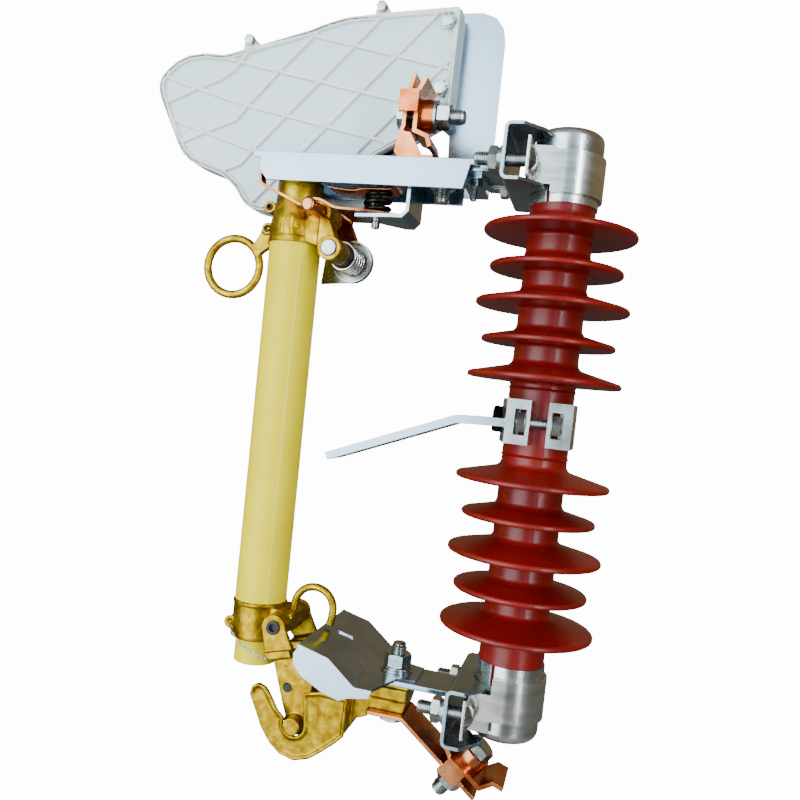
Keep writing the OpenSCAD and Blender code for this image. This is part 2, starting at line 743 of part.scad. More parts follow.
// ---------------------------------------------------------------- arc chute
module chute_2d() polygon(chute_outline);
module chute_screw_holes()
    for (z = chute_screw_z)
        y_rod(chute_screw_x, z, m6_d + 2 * fit_gap, chute_y - over, chute_far_y + plate_t + over);
// One half, with its ribbed face at y_face and its hollow side to the middle
module chute_half(side) {
    y_face = chute_mid_y + side * chute_w / 2;
    y_panel = y_face - side * chute_rib_h;
    y_inner = y_panel - side * chute_panel_t;
    difference() {
        union() {
            xz_plate(min(y_panel, y_inner), max(y_panel, y_inner)) chute_2d();
            xz_plate(min(y_face, y_panel), max(y_face, y_panel)) {
                difference() {
                    chute_2d();
                    polygon(inset(chute_outline, chute_rim_w));
                }
                intersection() {
                    chute_2d();
                    for (rib = concat(chute_falling_ribs, chute_rising_ribs))
                        strip_2d(rib, chute_rib_w);
                }
            }
            xz_plate(min(y_inner, chute_mid_y), max(y_inner, chute_mid_y)) difference() {
                chute_2d();
                polygon(chute_open_outline);
            }
        }
        chute_screw_holes();
    }
}
module chute_near_half() color("whitesmoke") place() chute_half(-1);
module chute_far_half() color("whitesmoke") place() chute_half(1);
// Steel plate behind the chute, with a foot under the arm
module chute_plate() color("lightsteelblue") place() difference() {
    union() {
        xz_plate(chute_far_y, chute_far_y + plate_t)
            polygon([[-132, 328], [-84, 328], [-73, 324], [-66, 315], [-64, 304],
                     [foot_right_x, arm_low_z - foot_t], [-98, arm_low_z - foot_t], [-101, 228],
                     [-132, 250]]);
        translate([0, 0, arm_low_z - foot_t]) linear_extrude(foot_t) polygon([
            [foot_left_x, -10], [foot_left_x, chute_far_y + over],
            [foot_right_x, chute_far_y + over], [foot_right_x, 26], [-55, 22], [-60, -10]
        ]);
    }
    chute_screw_holes();
    hood_bolt_holes(arm_low_z - foot_t, arm_low_z);
    z_rod(hood_bolt_x, 0, nut12_af + 4, arm_low_z - nut12_h, arm_low_z);
}
module chute_screws() color("silver") place() for (z = chute_screw_z) {
    y_rod(chute_screw_x, z, m6_d, chute_y - nut6_h - over, chute_far_y + plate_t + nut6_h);
    y_hex(chute_screw_x, z, nut6_af, chute_y - nut6_h, chute_y);
    y_hex(chute_screw_x, z, nut6_af, chute_far_y + plate_t, chute_far_y + plate_t + nut6_h - over);
}

// ---------------------------------------------------------------- terminals
module at_top_terminal() translate([top_terminal_x, terminal_y, terminal_bolt_z])
    rotate([0, 90, 0]) children();
module at_bottom_terminal() translate([bottom_terminal_x, terminal_y, bottom_terminal_z])
    rotate([0, bottom_terminal_angle, 0]) children();
module terminal_hole() z_rod(0, 0, m12_d + 2 * fit_gap, -3 * copper_t, clamp_out_z + over);
// Clamp plate with a pressed boss under the nut, tabs round the plate's edges, and wings
// that flare out along the conductor
module terminal_clamp() difference() {
    union() {
        xz_plate(-copper_w / 2, copper_w / 2) strip_2d([
            [-22, clamp_rise + 4], [-13, clamp_rise], [16, clamp_rise], [20, clamp_rise + 10],
            [26, clamp_rise + 12]
        ], copper_t);
        z_rod(0, 0, washer12_d, clamp_rise, clamp_out_z);
        for (y = [-clamp_tab_y - copper_t, clamp_tab_y])
            translate([tab_low_x, y, -1.5 * copper_t])
                cube([tab_high_x - tab_low_x, copper_t, clamp_rise + 2 * copper_t]);
        for (y = [-clamp_tab_y - copper_t, copper_w / 2 - over])
            translate([tab_low_x, y, clamp_rise - copper_t / 2])
                cube([tab_high_x - tab_low_x, clamp_tab_y + copper_t - copper_w / 2 + over, copper_t]);
    }
    terminal_hole();
}
module terminal_bolt() {
    nut_z = clamp_out_z + terminal_washer_t;
    z_hex(0, 0, nut12_af, -copper_t / 2 - head12_h, -copper_t / 2);
    z_rod(0, 0, m12_d, -copper_t / 2 - over, terminal_thread);
    z_rod(0, 0, washer12_d, clamp_out_z, nut_z);
    z_hex(0, 0, nut12_af, nut_z, nut_z + nut12_h);
}
module top_terminal_strap() color("peru") place() difference() {
    gusset_low_z = hood_top_z + copper_t / 2;
    union() {
        xz_plate(terminal_y - copper_w / 2, terminal_y + copper_w / 2) strip_2d([
            [-97, gusset_low_z], [top_terminal_x, gusset_low_z],
            [top_terminal_x - 3.5, 192], [top_terminal_x - 1.5, 206], [top_terminal_x, 211],
            [top_terminal_x, 234], [top_terminal_x + 2, 238], [top_terminal_x + 4, 248]
        ], copper_t);
        xz_plate(terminal_y - copper_w / 2, terminal_y - copper_w / 2 + copper_t)
            polygon([[top_terminal_x - copper_t, gusset_low_z], [top_terminal_x - 1.5, 207],
                     [top_terminal_x + 6, 206], [top_terminal_x + 17, gusset_low_z]]);
    }
    at_top_terminal() terminal_hole();
    z_rod(hood_bolt_x, 0, hood_head_d + over, hood_top_z - over, 2 * hood_top_z);
}
module top_terminal_clamp() color("peru") place() at_top_terminal() terminal_clamp();
module top_terminal_bolt() color("lightgrey") place() at_top_terminal() terminal_bolt();
module bottom_terminal_strap() color("peru") place() difference() {
    xz_plate(terminal_y - copper_w / 2, terminal_y + copper_w / 2) strip_2d([
        [-95.5, terminal_strap_z], [-71, terminal_strap_z],
        [bottom_terminal_x, bottom_terminal_z],
        [bottom_terminal_x, bottom_terminal_z]
            + 17.5 * [cos(bottom_terminal_angle), -sin(bottom_terminal_angle)]
    ], copper_t);
    at_bottom_terminal() terminal_hole();
    z_rod(hinge_bolt_x, 0, m12_d + 2 * fit_gap, terminal_strap_z - copper_t, block_low_z + over);
}
module bottom_terminal_clamp() color("peru") place() at_bottom_terminal() terminal_clamp();
// The bottom bolt stands the other way round, with its head on the clamp
module bottom_terminal_bolt() color("lightgrey") place() at_bottom_terminal()
    translate([0, 0, clamp_out_z - copper_t / 2]) mirror([0, 0, 1]) terminal_bolt();

// ---------------------------------------------------------------- hinge
module bottom_arm() color("lightsteelblue") place() difference() {
    translate([bottom_arm_left_x, -arm_w / 2, bottom_arm_low_z])
        cube([bracket_bottom_x - bottom_arm_left_x, arm_w, arm_t]);
    z_rod(hinge_bolt_x, 0, m12_d + 2 * fit_gap, bottom_arm_low_z - over, bottom_arm_top_z + over);
}
// Two open hooks on a cross wall, a neck and the block under the arm
module hinge_casting() color("goldenrod") place() difference() {
    union() {
        side_plates(hook_span / 2, hook_t) hook_2d();
        translate([hook_right_x - hook_t, -hook_span / 2, -236]) cube([hook_t + over, hook_span, 26]);
        xz_plate(-block_half_w, block_half_w) {
            polygon([[hook_right_x, -211], [-98, block_step_z], [-98, -223], [-102, -225],
                     [-107, -226.5], [hook_right_x, -235]]);
            polygon([[-98.5, bottom_arm_low_z], [-70, bottom_arm_low_z], [-70, block_step_z],
                     [-72, block_low_z], [-97.5, block_low_z], [-98.5, block_step_z]]);
        }
    }
    z_rod(hinge_bolt_x, 0, m12_d + 2 * fit_gap, block_low_z - over, bottom_arm_low_z + over);
}
// The throat opens upward to the left, so that the trunnion can be lifted out
module hook_2d() difference() {
    polygon(hook_outline);
    translate([trunnion_x + 1, trunnion_z + 1]) circle(trunnion_d / 2 + 3);
    polygon([[trunnion_x - 8, trunnion_z + 4], [trunnion_x - 26, trunnion_z + 32],
             [trunnion_x + 6, trunnion_z + 40], [trunnion_x + 9.5, trunnion_z + 4]]);
}
module shield_plate() color("lightsteelblue") place() difference() {
    union() {
        xz_plate(-shield_w / 2, shield_w / 2)
            strip_2d([for (p = concat(shield_outline, [[shield_end_x, shield_flat_z]]))
                      p - [0, shield_t / 2]], shield_t);
        side_plates(shield_w / 2, shield_t) polygon(concat(
            [for (p = shield_outline) p - [0, shield_t / 2]],
            [[-88, shield_flat_z - shield_t / 2], [-90, -196], [-104, -198.5], [-111, -201.5],
             [-124, -198], [-140, -190], [-147, -182.5], [-147.5, -175]]));
    }
    // The flat part narrows to the arm
    both_sides() translate([0, 0, shield_flat_z - shield_h]) linear_extrude(2 * shield_h)
        polygon([[-88, shield_w], [-88, shield_w / 2 - shield_t - 2], [-78, arm_w / 2],
                 [shield_end_x + 2 * over, arm_w / 2 - 4], [0, 0], [0, shield_w]]);
    z_rod(hinge_bolt_x, 0, m12_d + 2 * fit_gap, shield_flat_z - shield_h, shield_flat_z + over);
    for (x = shield_slot_x)
        z_rod(x, shield_slot_y, shield_slot_w, shield_flat_z, shield_flat_z + shield_h);
    translate([shield_slot_x[0], shield_slot_y - shield_slot_w / 2, shield_flat_z])
        cube([shield_slot_x[1] - shield_slot_x[0], shield_slot_w, shield_h]);
}
module hinge_bolt() color("lightgrey") place() {
    low_z = block_low_z - copper_t;
    z_rod(hinge_bolt_x, 0, washer12_d, shield_flat_z, shield_flat_z + 2 * washer_t);
    z_hex(hinge_bolt_x, 0, nut12_af, shield_flat_z + 2 * washer_t,
          shield_flat_z + 2 * washer_t + nut12_h);
    z_rod(hinge_bolt_x, 0, m12_d, low_z - over, shield_flat_z + hinge_stud);
    z_hex(hinge_bolt_x, 0, nut12_af, low_z - head12_h, low_z);
}

// ---------------------------------------------------------------- drop-out link
// Two ears round the toggle pin, joined by a web to the trunnion between the hooks
module toggle_link() color("goldenrod") place() {
    cheek_out_y = hook_span / 2 - hook_t - 2;
    difference() {
        union() {
            side_plates(link_w / 2, ear_t) {
                translate([toggle_x, toggle_z]) circle(hub_r);
                polygon([[toggle_x - hub_r, toggle_z], [toggle_x + hub_r, toggle_z],
                         [toggle_x + 19.5, -186], [toggle_x - 1, -190], [toggle_x - 5, -186]]);
            }
            side_plates(link_w / 2, cheek_step)
                polygon([[toggle_x + 16.5, -183], [toggle_x + 20.5, -187], [toggle_x, -193.5],
                         [toggle_x - 2.5, -189.5]]);
            side_plates(cheek_out_y, cheek_t) {
                polygon([[toggle_x - 1.5, -190.5], [toggle_x + 18.5, -185.5], [-141, -207],
                         [-141, -230], [-147, -240], [-157, -240], [-163, -226]]);
                translate([trunnion_x, trunnion_z]) circle(trunnion_d / 2 + 3);
            }
            xz_plate(-cheek_out_y, cheek_out_y)
                polygon([[-158, -196], [-150, -194], [-146, -222], [-154, -222]]);
            y_rod(trunnion_x, trunnion_z, trunnion_d, -hook_span / 2 - 3, hook_span / 2 + 3);
        }
        y_rod(toggle_x, toggle_z, toggle_pin_d, -link_w, link_w);
        y_rod(-160.5, -213, link_hole_d, -link_w, -cheek_out_y + cheek_t);
    }
}
module toggle_pin() color("black") place()
    y_rod(toggle_x, toggle_z, toggle_pin_d, -link_w / 2 - toggle_pin_out, link_w / 2 + toggle_pin_out);

// ---------------------------------------------------------------- fuse holder
// The tube's axis leans about the height of the toggle pin
module leaning() translate([tube_x, 0, toggle_z]) rotate([0, -tube_lean, 0])
    translate([-tube_x, 0, -toggle_z]) children();
module tube_rod(d, z_low, z_high) leaning() z_rod(tube_x, 0, d, z_low, z_high);
module fuse_tube() color("gold") place() difference() {
    union() {
        tube_rod(tube_d, ferrule_top_z, tube_top_z);
        tube_rod(stub_d, tube_bottom_z, ferrule_top_z + over);
    }
    tube_rod(tube_bore, tube_bottom_z - over, tube_top_z + over);
}
// Casting on the tube's top: a sleeve with the pin boss, the blade's pivot boss and the
// pull ring
module upper_ferrule() color("goldenrod") place() difference() {
    union() {
        tube_rod(2 * upper_r, upper_low_z, upper_step_z);
        leaning() translate([tube_x, 0, upper_step_z])
            cylinder(r1 = upper_r, r2 = upper_small_r, h = upper_taper);
        tube_rod(2 * upper_small_r, upper_step_z, upper_top_z);
        y_rod(pin_x, pin_z, boss_d, -pin_boss_y, pin_boss_y);
        translate([tube_x, -pin_boss_y, pivot_z + 4])
            cube([pin_x - tube_x, 2 * pin_boss_y, pin_z - pivot_z]);
        y_rod(pivot_x, pivot_z, pivot_boss_d, pivot_near_y, pivot_near_y + pivot_boss_len);
        xz_plate(-20, -8)
            polygon([[tube_x, pivot_z + 4], [pivot_x - 3, pivot_z - 6], [pivot_x + 5, pivot_z + 5],
                     [pin_x + 7, pin_z - 2], [pin_x - 5, pin_z]]);
        xz_plate(-ring_plate_t / 2, ring_plate_t / 2) {
            polygon([[tube_x - 10, 128], [tube_x - 10, 154], [-224, 154], [-226, 144],
                     [-230, 130]]);
            for (z = ring_lug_z) translate([ring_lug_x, z]) circle(ring_lug_r);
            translate([ring_x, ring_z]) circle(ring_hole_d / 2 + ring_bar_d);
            polygon([[-238, 120], [-230, 113], [tube_x - 10, 125], [tube_x - 10, 134],
                     [-227, 136]]);
        }
    }
    y_rod(ring_x, ring_z, ring_hole_d, -ring_plate_t, ring_plate_t);
    tube_rod(tube_d, upper_low_z - ring_hole_d, tube_top_z);
    tube_rod(head_bore_d, tube_top_z - over, upper_top_z - upper_roof_t);
    y_rod(pin_x, pin_z, pin_d, -2 * pin_boss_y, 2 * pin_boss_y);
    y_rod(pivot_x, pivot_z, shaft_d + 2 * running_gap, pivot_near_y - over, 0);
    for (z = ring_lug_z) y_rod(ring_lug_x, z, roll_pin_d, -ring_plate_t, ring_plate_t);
}
// Rolled spring pins through the ring's lugs
module ring_pins() color("dimgrey") place() for (z = ring_lug_z) difference() {
    y_rod(ring_lug_x, z, roll_pin_d, -ring_plate_t / 2 - roll_pin_out, ring_plate_t / 2);
    y_rod(ring_lug_x, z, roll_pin_d / 2, -ring_plate_t, ring_plate_t);
}
module contact_pin() color("peru") place() y_rod(pin_x, pin_z, pin_d, pin_near_y, pin_far_y);
module lower_ferrule_solid() {
    hub_y = link_w / 2 - ear_t - link_gap;
    tube_rod(2 * ferrule_r, ferrule_low_z, ferrule_top_z);
    y_rod(toggle_x, toggle_z, 2 * hub_r - 1, -hub_y, hub_y);
    xz_plate(-pin_boss_y, pin_boss_y)
        polygon([[tube_x, -158], [toggle_x, -158.5], [toggle_x + 9, -160.5],
                 [toggle_x + 9, -168], [toggle_x, -177.5], [tube_x, -177.5]]);
    y_rod(wire_lug_x, wire_lug_z, wire_lug_d, wire_lug_y[0], wire_lug_y[1]);
}
module lower_ferrule() color("goldenrod") place() difference() {
    lower_ferrule_solid();
    tube_rod(stub_d, ferrule_low_z - over, ferrule_top_z + over);
    y_rod(toggle_x, toggle_z, toggle_pin_d + 2 * running_gap, -link_w, link_w);
}
// Hook for the lifting stick, cast on to the lower ferrule
module lift_loop() color("goldenrod") place() difference() {
    union() {
        translate([loop_x, 0, loop_z]) rotate([90, 0, 0]) rotate_extrude(angle = 180)
            translate([loop_r, 0]) circle(d = loop_bar_d, $fn = 32);
        z_rod(loop_x - loop_r, 0, loop_bar_d, loop_root_z, loop_z);
        z_rod(loop_x + loop_r, 0, loop_bar_d, loop_foot_z, loop_z);
        translate([loop_x + loop_r, 0, loop_foot_z]) sphere(d = loop_bar_d);
    }
    lower_ferrule_solid();
}
// Ring of points round one point of the wire's route, across its direction there
function wire_ring(i) =
    let (last = len(wire_route) - 1, way = wire_route[min(i + 1, last)] - wire_route[max(i - 1, 0)],
         side = cross(way, [0, 0, 1]) / norm(cross(way, [0, 0, 1])),
         up = cross(side, way) / norm(way))
    [for (k = [0 : wire_sides - 1]) wire_route[i] + wire_d / 2
        * (cos(360 * k / wire_sides) * side + sin(360 * k / wire_sides) * up)];
module link_wire() color("grey") place() {
    rings = len(wire_route);
    polyhedron(
        points = [for (i = [0 : rings - 1]) each wire_ring(i)],
        faces = concat(
            [for (i = [0 : rings - 2], k = [0 : wire_sides - 1])
                let (a = i * wire_sides, j = (k + 1) % wire_sides)
                [a + k, a + j, a + wire_sides + j, a + wire_sides + k]],
            [[for (k = [wire_sides - 1 : -1 : 0]) k],
             [for (k = [0 : wire_sides - 1]) (rings - 1) * wire_sides + k]]));
}
// Steel lever on the shaft through the ferrule's pivot boss, with a rim round the spring
module blade_lever() color("silver") place() {
    lever_y = blade_y - blade_t / 2 - torsion_wire;
    y_rod(pivot_x, pivot_z, shaft_d, pivot_near_y - 1, blade_y + blade_t / 2 + shaft_d / 2);
    y_rod(pivot_x, pivot_z, 2 * lever_r, lever_y, lever_y + torsion_wire);
    xz_plate(lever_y, lever_y + torsion_wire)
        polygon([for (p = [[-25.5, -19.5], [5, -16], [2, 16], [-14, 13], [-24, 2]])
                 p + [pivot_x, pivot_z]]);
    difference() {
        y_rod(pivot_x, pivot_z, 2 * lever_r, lever_y - lever_rim_h, lever_y);
        y_rod(pivot_x, pivot_z, 2 * (lever_r - lever_rim_t), lever_y - 2 * lever_rim_h,
              lever_y + lever_rim_h);
    }
}
// Copper blade beside the lever, up into the chute
module arc_blade() color("peru") place() difference() {
    xz_plate(blade_y - blade_t / 2, blade_y + blade_t / 2) {
        translate([pivot_x, pivot_z]) circle(blade_root_w / 2);
        translate([blade_tip_x, blade_tip_z]) circle(blade_w / 2);
        polygon([[pivot_x - blade_root_w / 2, pivot_z], [pivot_x + blade_root_w / 2, pivot_z],
                 blade_bend + [blade_root_w / 2, 0], [blade_tip_x + blade_w / 2, blade_tip_z],
                 [blade_tip_x - blade_w / 2, blade_tip_z], blade_bend - [blade_root_w / 2, 0]]);
    }
    y_rod(pivot_x, pivot_z, shaft_d, blade_y - blade_t, blade_y + blade_t);
}
module torsion_spring() color("darkgrey") place() {
    start_y = pivot_near_y + pivot_boss_len;
    span = blade_y - blade_t / 2 - torsion_wire - start_y;
    pitch = (span - torsion_wire) / torsion_turns;
    mid_r = torsion_d / 2 - torsion_wire;
    translate([pivot_x, start_y + torsion_wire / 2, pivot_z]) rotate([-90, 0, 0])
        rotate_extrude() {
            for (i = [0 : torsion_turns]) translate([mid_r, i * pitch])
                circle(d = torsion_wire, $fn = 16);
            translate([mid_r - torsion_wire / 6, 0])
                square([torsion_wire / 3, torsion_turns * pitch]);
        }
}

insulator();
top_cap();
bottom_cap();
top_strap();
bottom_strap();
top_bracket();
bottom_bracket();
top_strap_bolts();
bottom_strap_bolts();
mid_clamp_left();
mid_clamp_right();
mid_clamp_bolts();
bar_bolt();
mounting_bar();
top_arm();
hood();
hood_bolts();
contact_strip();
spring_leaf();
contact_spring();
spring_hook();
chute_near_half();
chute_far_half();
chute_plate();
chute_screws();
top_terminal_strap();
top_terminal_clamp();
top_terminal_bolt();
bottom_arm();
hinge_casting();
shield_plate();
hinge_bolt();
bottom_terminal_strap();
bottom_terminal_clamp();
bottom_terminal_bolt();
toggle_link();
toggle_pin();
fuse_tube();
upper_ferrule();
ring_pins();
contact_pin();
lower_ferrule();
lift_loop();
link_wire();
blade_lever();
arc_blade();
torsion_spring();
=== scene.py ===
import json
import math

import bmesh
import bpy
from mathutils import Matrix, Vector


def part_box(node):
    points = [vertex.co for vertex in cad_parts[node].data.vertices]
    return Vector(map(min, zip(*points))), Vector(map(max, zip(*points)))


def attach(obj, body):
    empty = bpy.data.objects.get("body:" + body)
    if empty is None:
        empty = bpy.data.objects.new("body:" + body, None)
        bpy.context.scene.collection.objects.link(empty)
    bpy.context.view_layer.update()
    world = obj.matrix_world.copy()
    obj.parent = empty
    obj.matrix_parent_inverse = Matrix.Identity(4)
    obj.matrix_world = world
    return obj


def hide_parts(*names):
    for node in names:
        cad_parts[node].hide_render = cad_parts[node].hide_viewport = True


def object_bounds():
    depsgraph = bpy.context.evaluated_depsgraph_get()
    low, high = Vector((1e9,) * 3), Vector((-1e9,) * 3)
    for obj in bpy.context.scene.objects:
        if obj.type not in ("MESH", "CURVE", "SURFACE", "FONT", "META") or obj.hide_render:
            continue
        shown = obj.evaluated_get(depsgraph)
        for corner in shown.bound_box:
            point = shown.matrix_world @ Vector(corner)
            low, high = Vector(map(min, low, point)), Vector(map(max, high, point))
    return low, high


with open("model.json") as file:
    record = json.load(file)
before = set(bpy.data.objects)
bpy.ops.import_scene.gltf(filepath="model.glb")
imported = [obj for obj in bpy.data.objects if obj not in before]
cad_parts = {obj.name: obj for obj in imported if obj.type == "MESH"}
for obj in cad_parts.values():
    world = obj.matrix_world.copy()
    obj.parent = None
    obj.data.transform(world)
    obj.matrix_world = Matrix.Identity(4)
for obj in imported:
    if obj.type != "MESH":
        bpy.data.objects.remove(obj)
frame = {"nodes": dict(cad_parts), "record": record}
cad_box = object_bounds()

# Pieces are shaped in mm round the insulator: its axis is X = Y = 0 and its middle is
# Z = 0. TO_FRAME and TO_MM go from there to the frame's metres and back.
MM = 0.001
NECK_TOP = 207
insulator_low, insulator_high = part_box("insulator")
TO_FRAME = Matrix.Translation(
    ((insulator_low[0] + insulator_high[0]) / 2, 0, insulator_high[2] - NECK_TOP * MM)
) @ Matrix.Scale(MM, 4)
TO_MM = TO_FRAME.inverted()
RIGHT, LEFT = (1, 0, 0), (-1, 0, 0)
AWAY, NEARER = (0, 1, 0), (0, -1, 0)
UP, DOWN = (0, 0, 1), (0, 0, -1)

# Places that several pieces share. Pins that lie along Y are given as (x, z).
CHUTE_MIDDLE = 38.2
CLAMP_Z = 5.5
SPRING_X = -139
HINGE_BOLT_X = -83
TUBE_X = -197.6
CONTACT_PIN = (-180, 145.5)
BLADE_PIVOT = (-165, 117)
TOGGLE_PIN = (-174, -168)
WIRE_LUG = (-215.5, -174.5)
RING_PINS_X = -225.4
RING_PINS_Z = (132.5, 149.5)


# ------------------------------------------------------------------ colours and nodes
def srgb(code):
    """A hex colour as linear red, green, blue and alpha."""
    parts = [int(code[i : i + 2], 16) / 255 for i in (1, 3, 5)]
    return [p / 12.92 if p <= 0.04045 else ((p + 0.055) / 1.055) ** 2.4 for p in parts] + [1]


def add_node(tree, kind, settings=None, **links):
    """Adds one node, sets its values, and links its named inputs from other nodes' outputs.
    first is the input at the top, whatever its name."""
    made = tree.nodes.new(kind)
    for name, value in (settings or {}).items():
        if name == "stops":
            while len(made.color_ramp.elements) < len(value):
                made.color_ramp.elements.new(0.5)
            for stop, (place, code) in zip(made.color_ramp.elements, value):
                stop.position, stop.color = place, srgb(code)
        elif name in made.inputs.keys():
            made.inputs[name].default_value = value
        else:
            setattr(made, name, value)
    for name, source in links.items():
        tree.links.new(source, made.inputs[0 if name == "first" else name.replace("_", " ")])
    return made


def start_material(name):
    """An empty material with its output, and the object coordinates that its patterns use."""
    material = bpy.data.materials.new(name)
    material.use_nodes = True
    tree = material.node_tree
    tree.nodes.clear()
    return material, tree, add_node(tree, "ShaderNodeTexCoord").outputs["Object"]


def end_material(material, tree, settings, **links):
    """Closes a material with its one surface shader."""
    shader = add_node(tree, "ShaderNodeBsdfPrincipled", settings, **links)
    add_node(tree, "ShaderNodeOutputMaterial", Surface=shader.outputs["BSDF"])
    return material


def noise(tree, place, size_mm, detail=3.0, stretch=None):
    """Even noise whose grains are about size_mm across, drawn out where stretch says so."""
    if stretch:
        place = add_node(tree, "ShaderNodeMapping", {"Scale": stretch}, Vector=place).outputs[0]
    return add_node(
        tree, "ShaderNodeTexNoise", {"Scale": 1 / (size_mm * MM), "Detail": detail}, Vector=place
    ).outputs["Fac"]


# ------------------------------------------------------------------ materials
def metal(name, shades, patch_mm, rough, grain_mm, bump_mm, stretch=None):
    """Bare or plated metal: soft patches of two shades, and a fine grain in the surface."""
    material, tree, place = start_material(name)
    patches = noise(tree, place, patch_mm, 4.0, stretch)
    shade = add_node(
        tree, "ShaderNodeValToRGB", {"stops": list(zip((0.35, 0.65), shades))}, Fac=patches
    )
    gloss = add_node(
        tree, "ShaderNodeMapRange",
        {"From Min": 0.3, "From Max": 0.7, "To Min": rough[0], "To Max": rough[1]},
        Value=patches,
    )
    bump = add_node(
        tree, "ShaderNodeBump", {"Distance": bump_mm * MM},
        Height=noise(tree, place, grain_mm, 3.0, stretch),
    )
    return end_material(
        material, tree, {"Metallic": 1.0}, Base_Color=shade.outputs["Color"],
        Roughness=gloss.outputs["Result"], Normal=bump.outputs["Normal"],
    )


def sand_cast_bronze():
    """Bronze from a sand mould: pale gold and amber patches, a coarse skin that the grains
    of sand leave, drawn a little coarser than it is so that it shows, and black pits."""
    material, tree, place = start_material("sand_cast_bronze")
    patches = noise(tree, place, 7, 8.0)
    shade = add_node(
        tree, "ShaderNodeValToRGB",
        {"stops": [(0.3, "#7f5c00"), (0.5, "#aa850a"), (0.7, "#d0b02a")]}, Fac=patches,
    )
    grains = noise(tree, place, 0.9, 4.0)
    pits = add_node(
        tree, "ShaderNodeValToRGB", {"stops": [(0.26, "#2a1c08"), (0.34, "#ffffff")]},
        Fac=noise(tree, place, 1.6, 2.0),
    )
    dirt = add_node(
        tree, "ShaderNodeMix", {"data_type": "RGBA", "blend_type": "MULTIPLY", "Factor": 1.0}
    )
    tree.links.new(shade.outputs["Color"], dirt.inputs[6])
    tree.links.new(pits.outputs["Color"], dirt.inputs[7])
    gloss = add_node(
        tree, "ShaderNodeMapRange",
        {"From Min": 0.3, "From Max": 0.7, "To Min": 0.3, "To Max": 0.5}, Value=grains,
    )
    bump = add_node(tree, "ShaderNodeBump", {"Distance": 0.16 * MM}, Height=grains)
    return end_material(
        material, tree, {"Metallic": 1.0}, Base_Color=dirt.outputs[2],
        Roughness=gloss.outputs["Result"], Normal=bump.outputs["Normal"],
    )


def coated(name, shades, patch_mm, grain_mm, bump_mm, settings):
    """Rubber, plastic or lacquer: two close shades, and a fine skin."""
    material, tree, place = start_material(name)
    shade = add_node(
        tree, "ShaderNodeValToRGB", {"stops": list(zip((0.35, 0.65), shades))},
        Fac=noise(tree, place, patch_mm, 5.0),
    )
    bump = add_node(
        tree, "ShaderNodeBump", {"Distance": bump_mm * MM}, Height=noise(tree, place, grain_mm)
    )
    return end_material(
        material, tree, settings, Base_Color=shade.outputs["Color"],
        Normal=bump.outputs["Normal"],
    )


def moulded_polycarbonate():
    """White moulding: blue-white on the panel, and painted light on the ribs and the rim: a
    creamy tint that stands for the light falling on them and glowing through the moulding. The
    tint follows the distance from the middle plane."""
    material, tree, place = start_material("moulded_polycarbonate")
    across = add_node(tree, "ShaderNodeSeparateXYZ", Vector=place)
    offset = add_node(
        tree, "ShaderNodeMath", {"operation": "SUBTRACT"}, first=across.outputs["Y"]
    )
    offset.inputs[1].default_value = CHUTE_MIDDLE * MM
    depth = add_node(tree, "ShaderNodeMath", {"operation": "ABSOLUTE"}, first=offset.outputs[0])
    raised = add_node(
        tree, "ShaderNodeMapRange", {"From Min": 9.1 * MM, "From Max": 11 * MM},
        Value=depth.outputs[0],
    )
    # Painted light: the ribs and the rim are tinted cream for the light that falls on and through
    # them, and the panel stays blue-white
    shade = add_node(
        tree, "ShaderNodeValToRGB", {"stops": [(0.0, "#dbeaf3"), (0.9, "#edf1e1")]},
        Fac=raised.outputs["Result"],
    )
    bump = add_node(
        tree, "ShaderNodeBump", {"Distance": 0.02 * MM}, Height=noise(tree, place, 3)
    )
    return end_material(
        material, tree,
        {"Roughness": 0.42, "Subsurface Weight": 0.1, "Subsurface Scale": 0.003,
         "Subsurface Radius": (1.0, 1.0, 0.9)},
        Base_Color=shade.outputs["Color"], Normal=bump.outputs["Normal"],
    )


# Moulded silicone rubber: deep brick red with a satin skin
SILICONE = coated(
    "silicone_rubber", ("#6c0703", "#7c0e06"), patch_mm=40, grain_mm=2.5, bump_mm=0.03,
    settings={"Roughness": 0.34, "Specular IOR Level": 0.4},
)
# Hot-dip galvanised steel: near white, with a soft spangle
GALVANISED = metal(
    "galvanised_steel", ("#b9bfba", "#d8dcd8"), patch_mm=18, rough=(0.22, 0.32), grain_mm=3,
    bump_mm=0.02,
)
# Pressed stainless band: bright, with fine rolling lines that run round it
BAND_STEEL = metal(
    "pressed_band_steel", ("#d2d1ca", "#e6e5df"), patch_mm=9, rough=(0.2, 0.28), grain_mm=3,
    bump_mm=0.015, stretch=(0.3, 0.3, 1.5),
)
# Zinc electroplated on sheet steel: pale blue-white and smooth
ZINC = metal(
    "zinc_plated_sheet", ("#95aabb", "#a9bdcd"), patch_mm=30, rough=(0.2, 0.3), grain_mm=4,
    bump_mm=0.015,
)
# Zinc-plated turned steel: greyer, with sharp lights
BOLT_STEEL = metal(
    "zinc_plated_fastener", ("#9ba09f", "#c3c8c6"), patch_mm=8, rough=(0.2, 0.3), grain_mm=2,
    bump_mm=0.01,
)
# Black-oxide spring steel: a warm near-black with soft lights
BLACK_STEEL = metal(
    "black_oxide_steel", ("#17170f", "#33322b"), patch_mm=6, rough=(0.28, 0.4), grain_mm=1,
    bump_mm=0.01,
)
# Rolled copper: salmon pink where it is bright, brown where it has tarnished
COPPER = metal(
    "rolled_copper", ("#b5561f", "#e49a68"), patch_mm=22, rough=(0.18, 0.3), grain_mm=3,
    bump_mm=0.012,
)
BRONZE = sand_cast_bronze()
# Wound glass-fibre tube under a thick yellow lacquer: an even colour, with a soft light down
# its length
LACQUER = coated(
    "lacquered_fibreglass", ("#ecd000", "#f4dc00"), patch_mm=30, grain_mm=7, bump_mm=0.03,
    settings={"Roughness": 0.35, "Specular IOR Level": 0.1, "Coat Weight": 0.15,
              "Coat Roughness": 0.06},
)
POLYCARBONATE = moulded_polycarbonate()
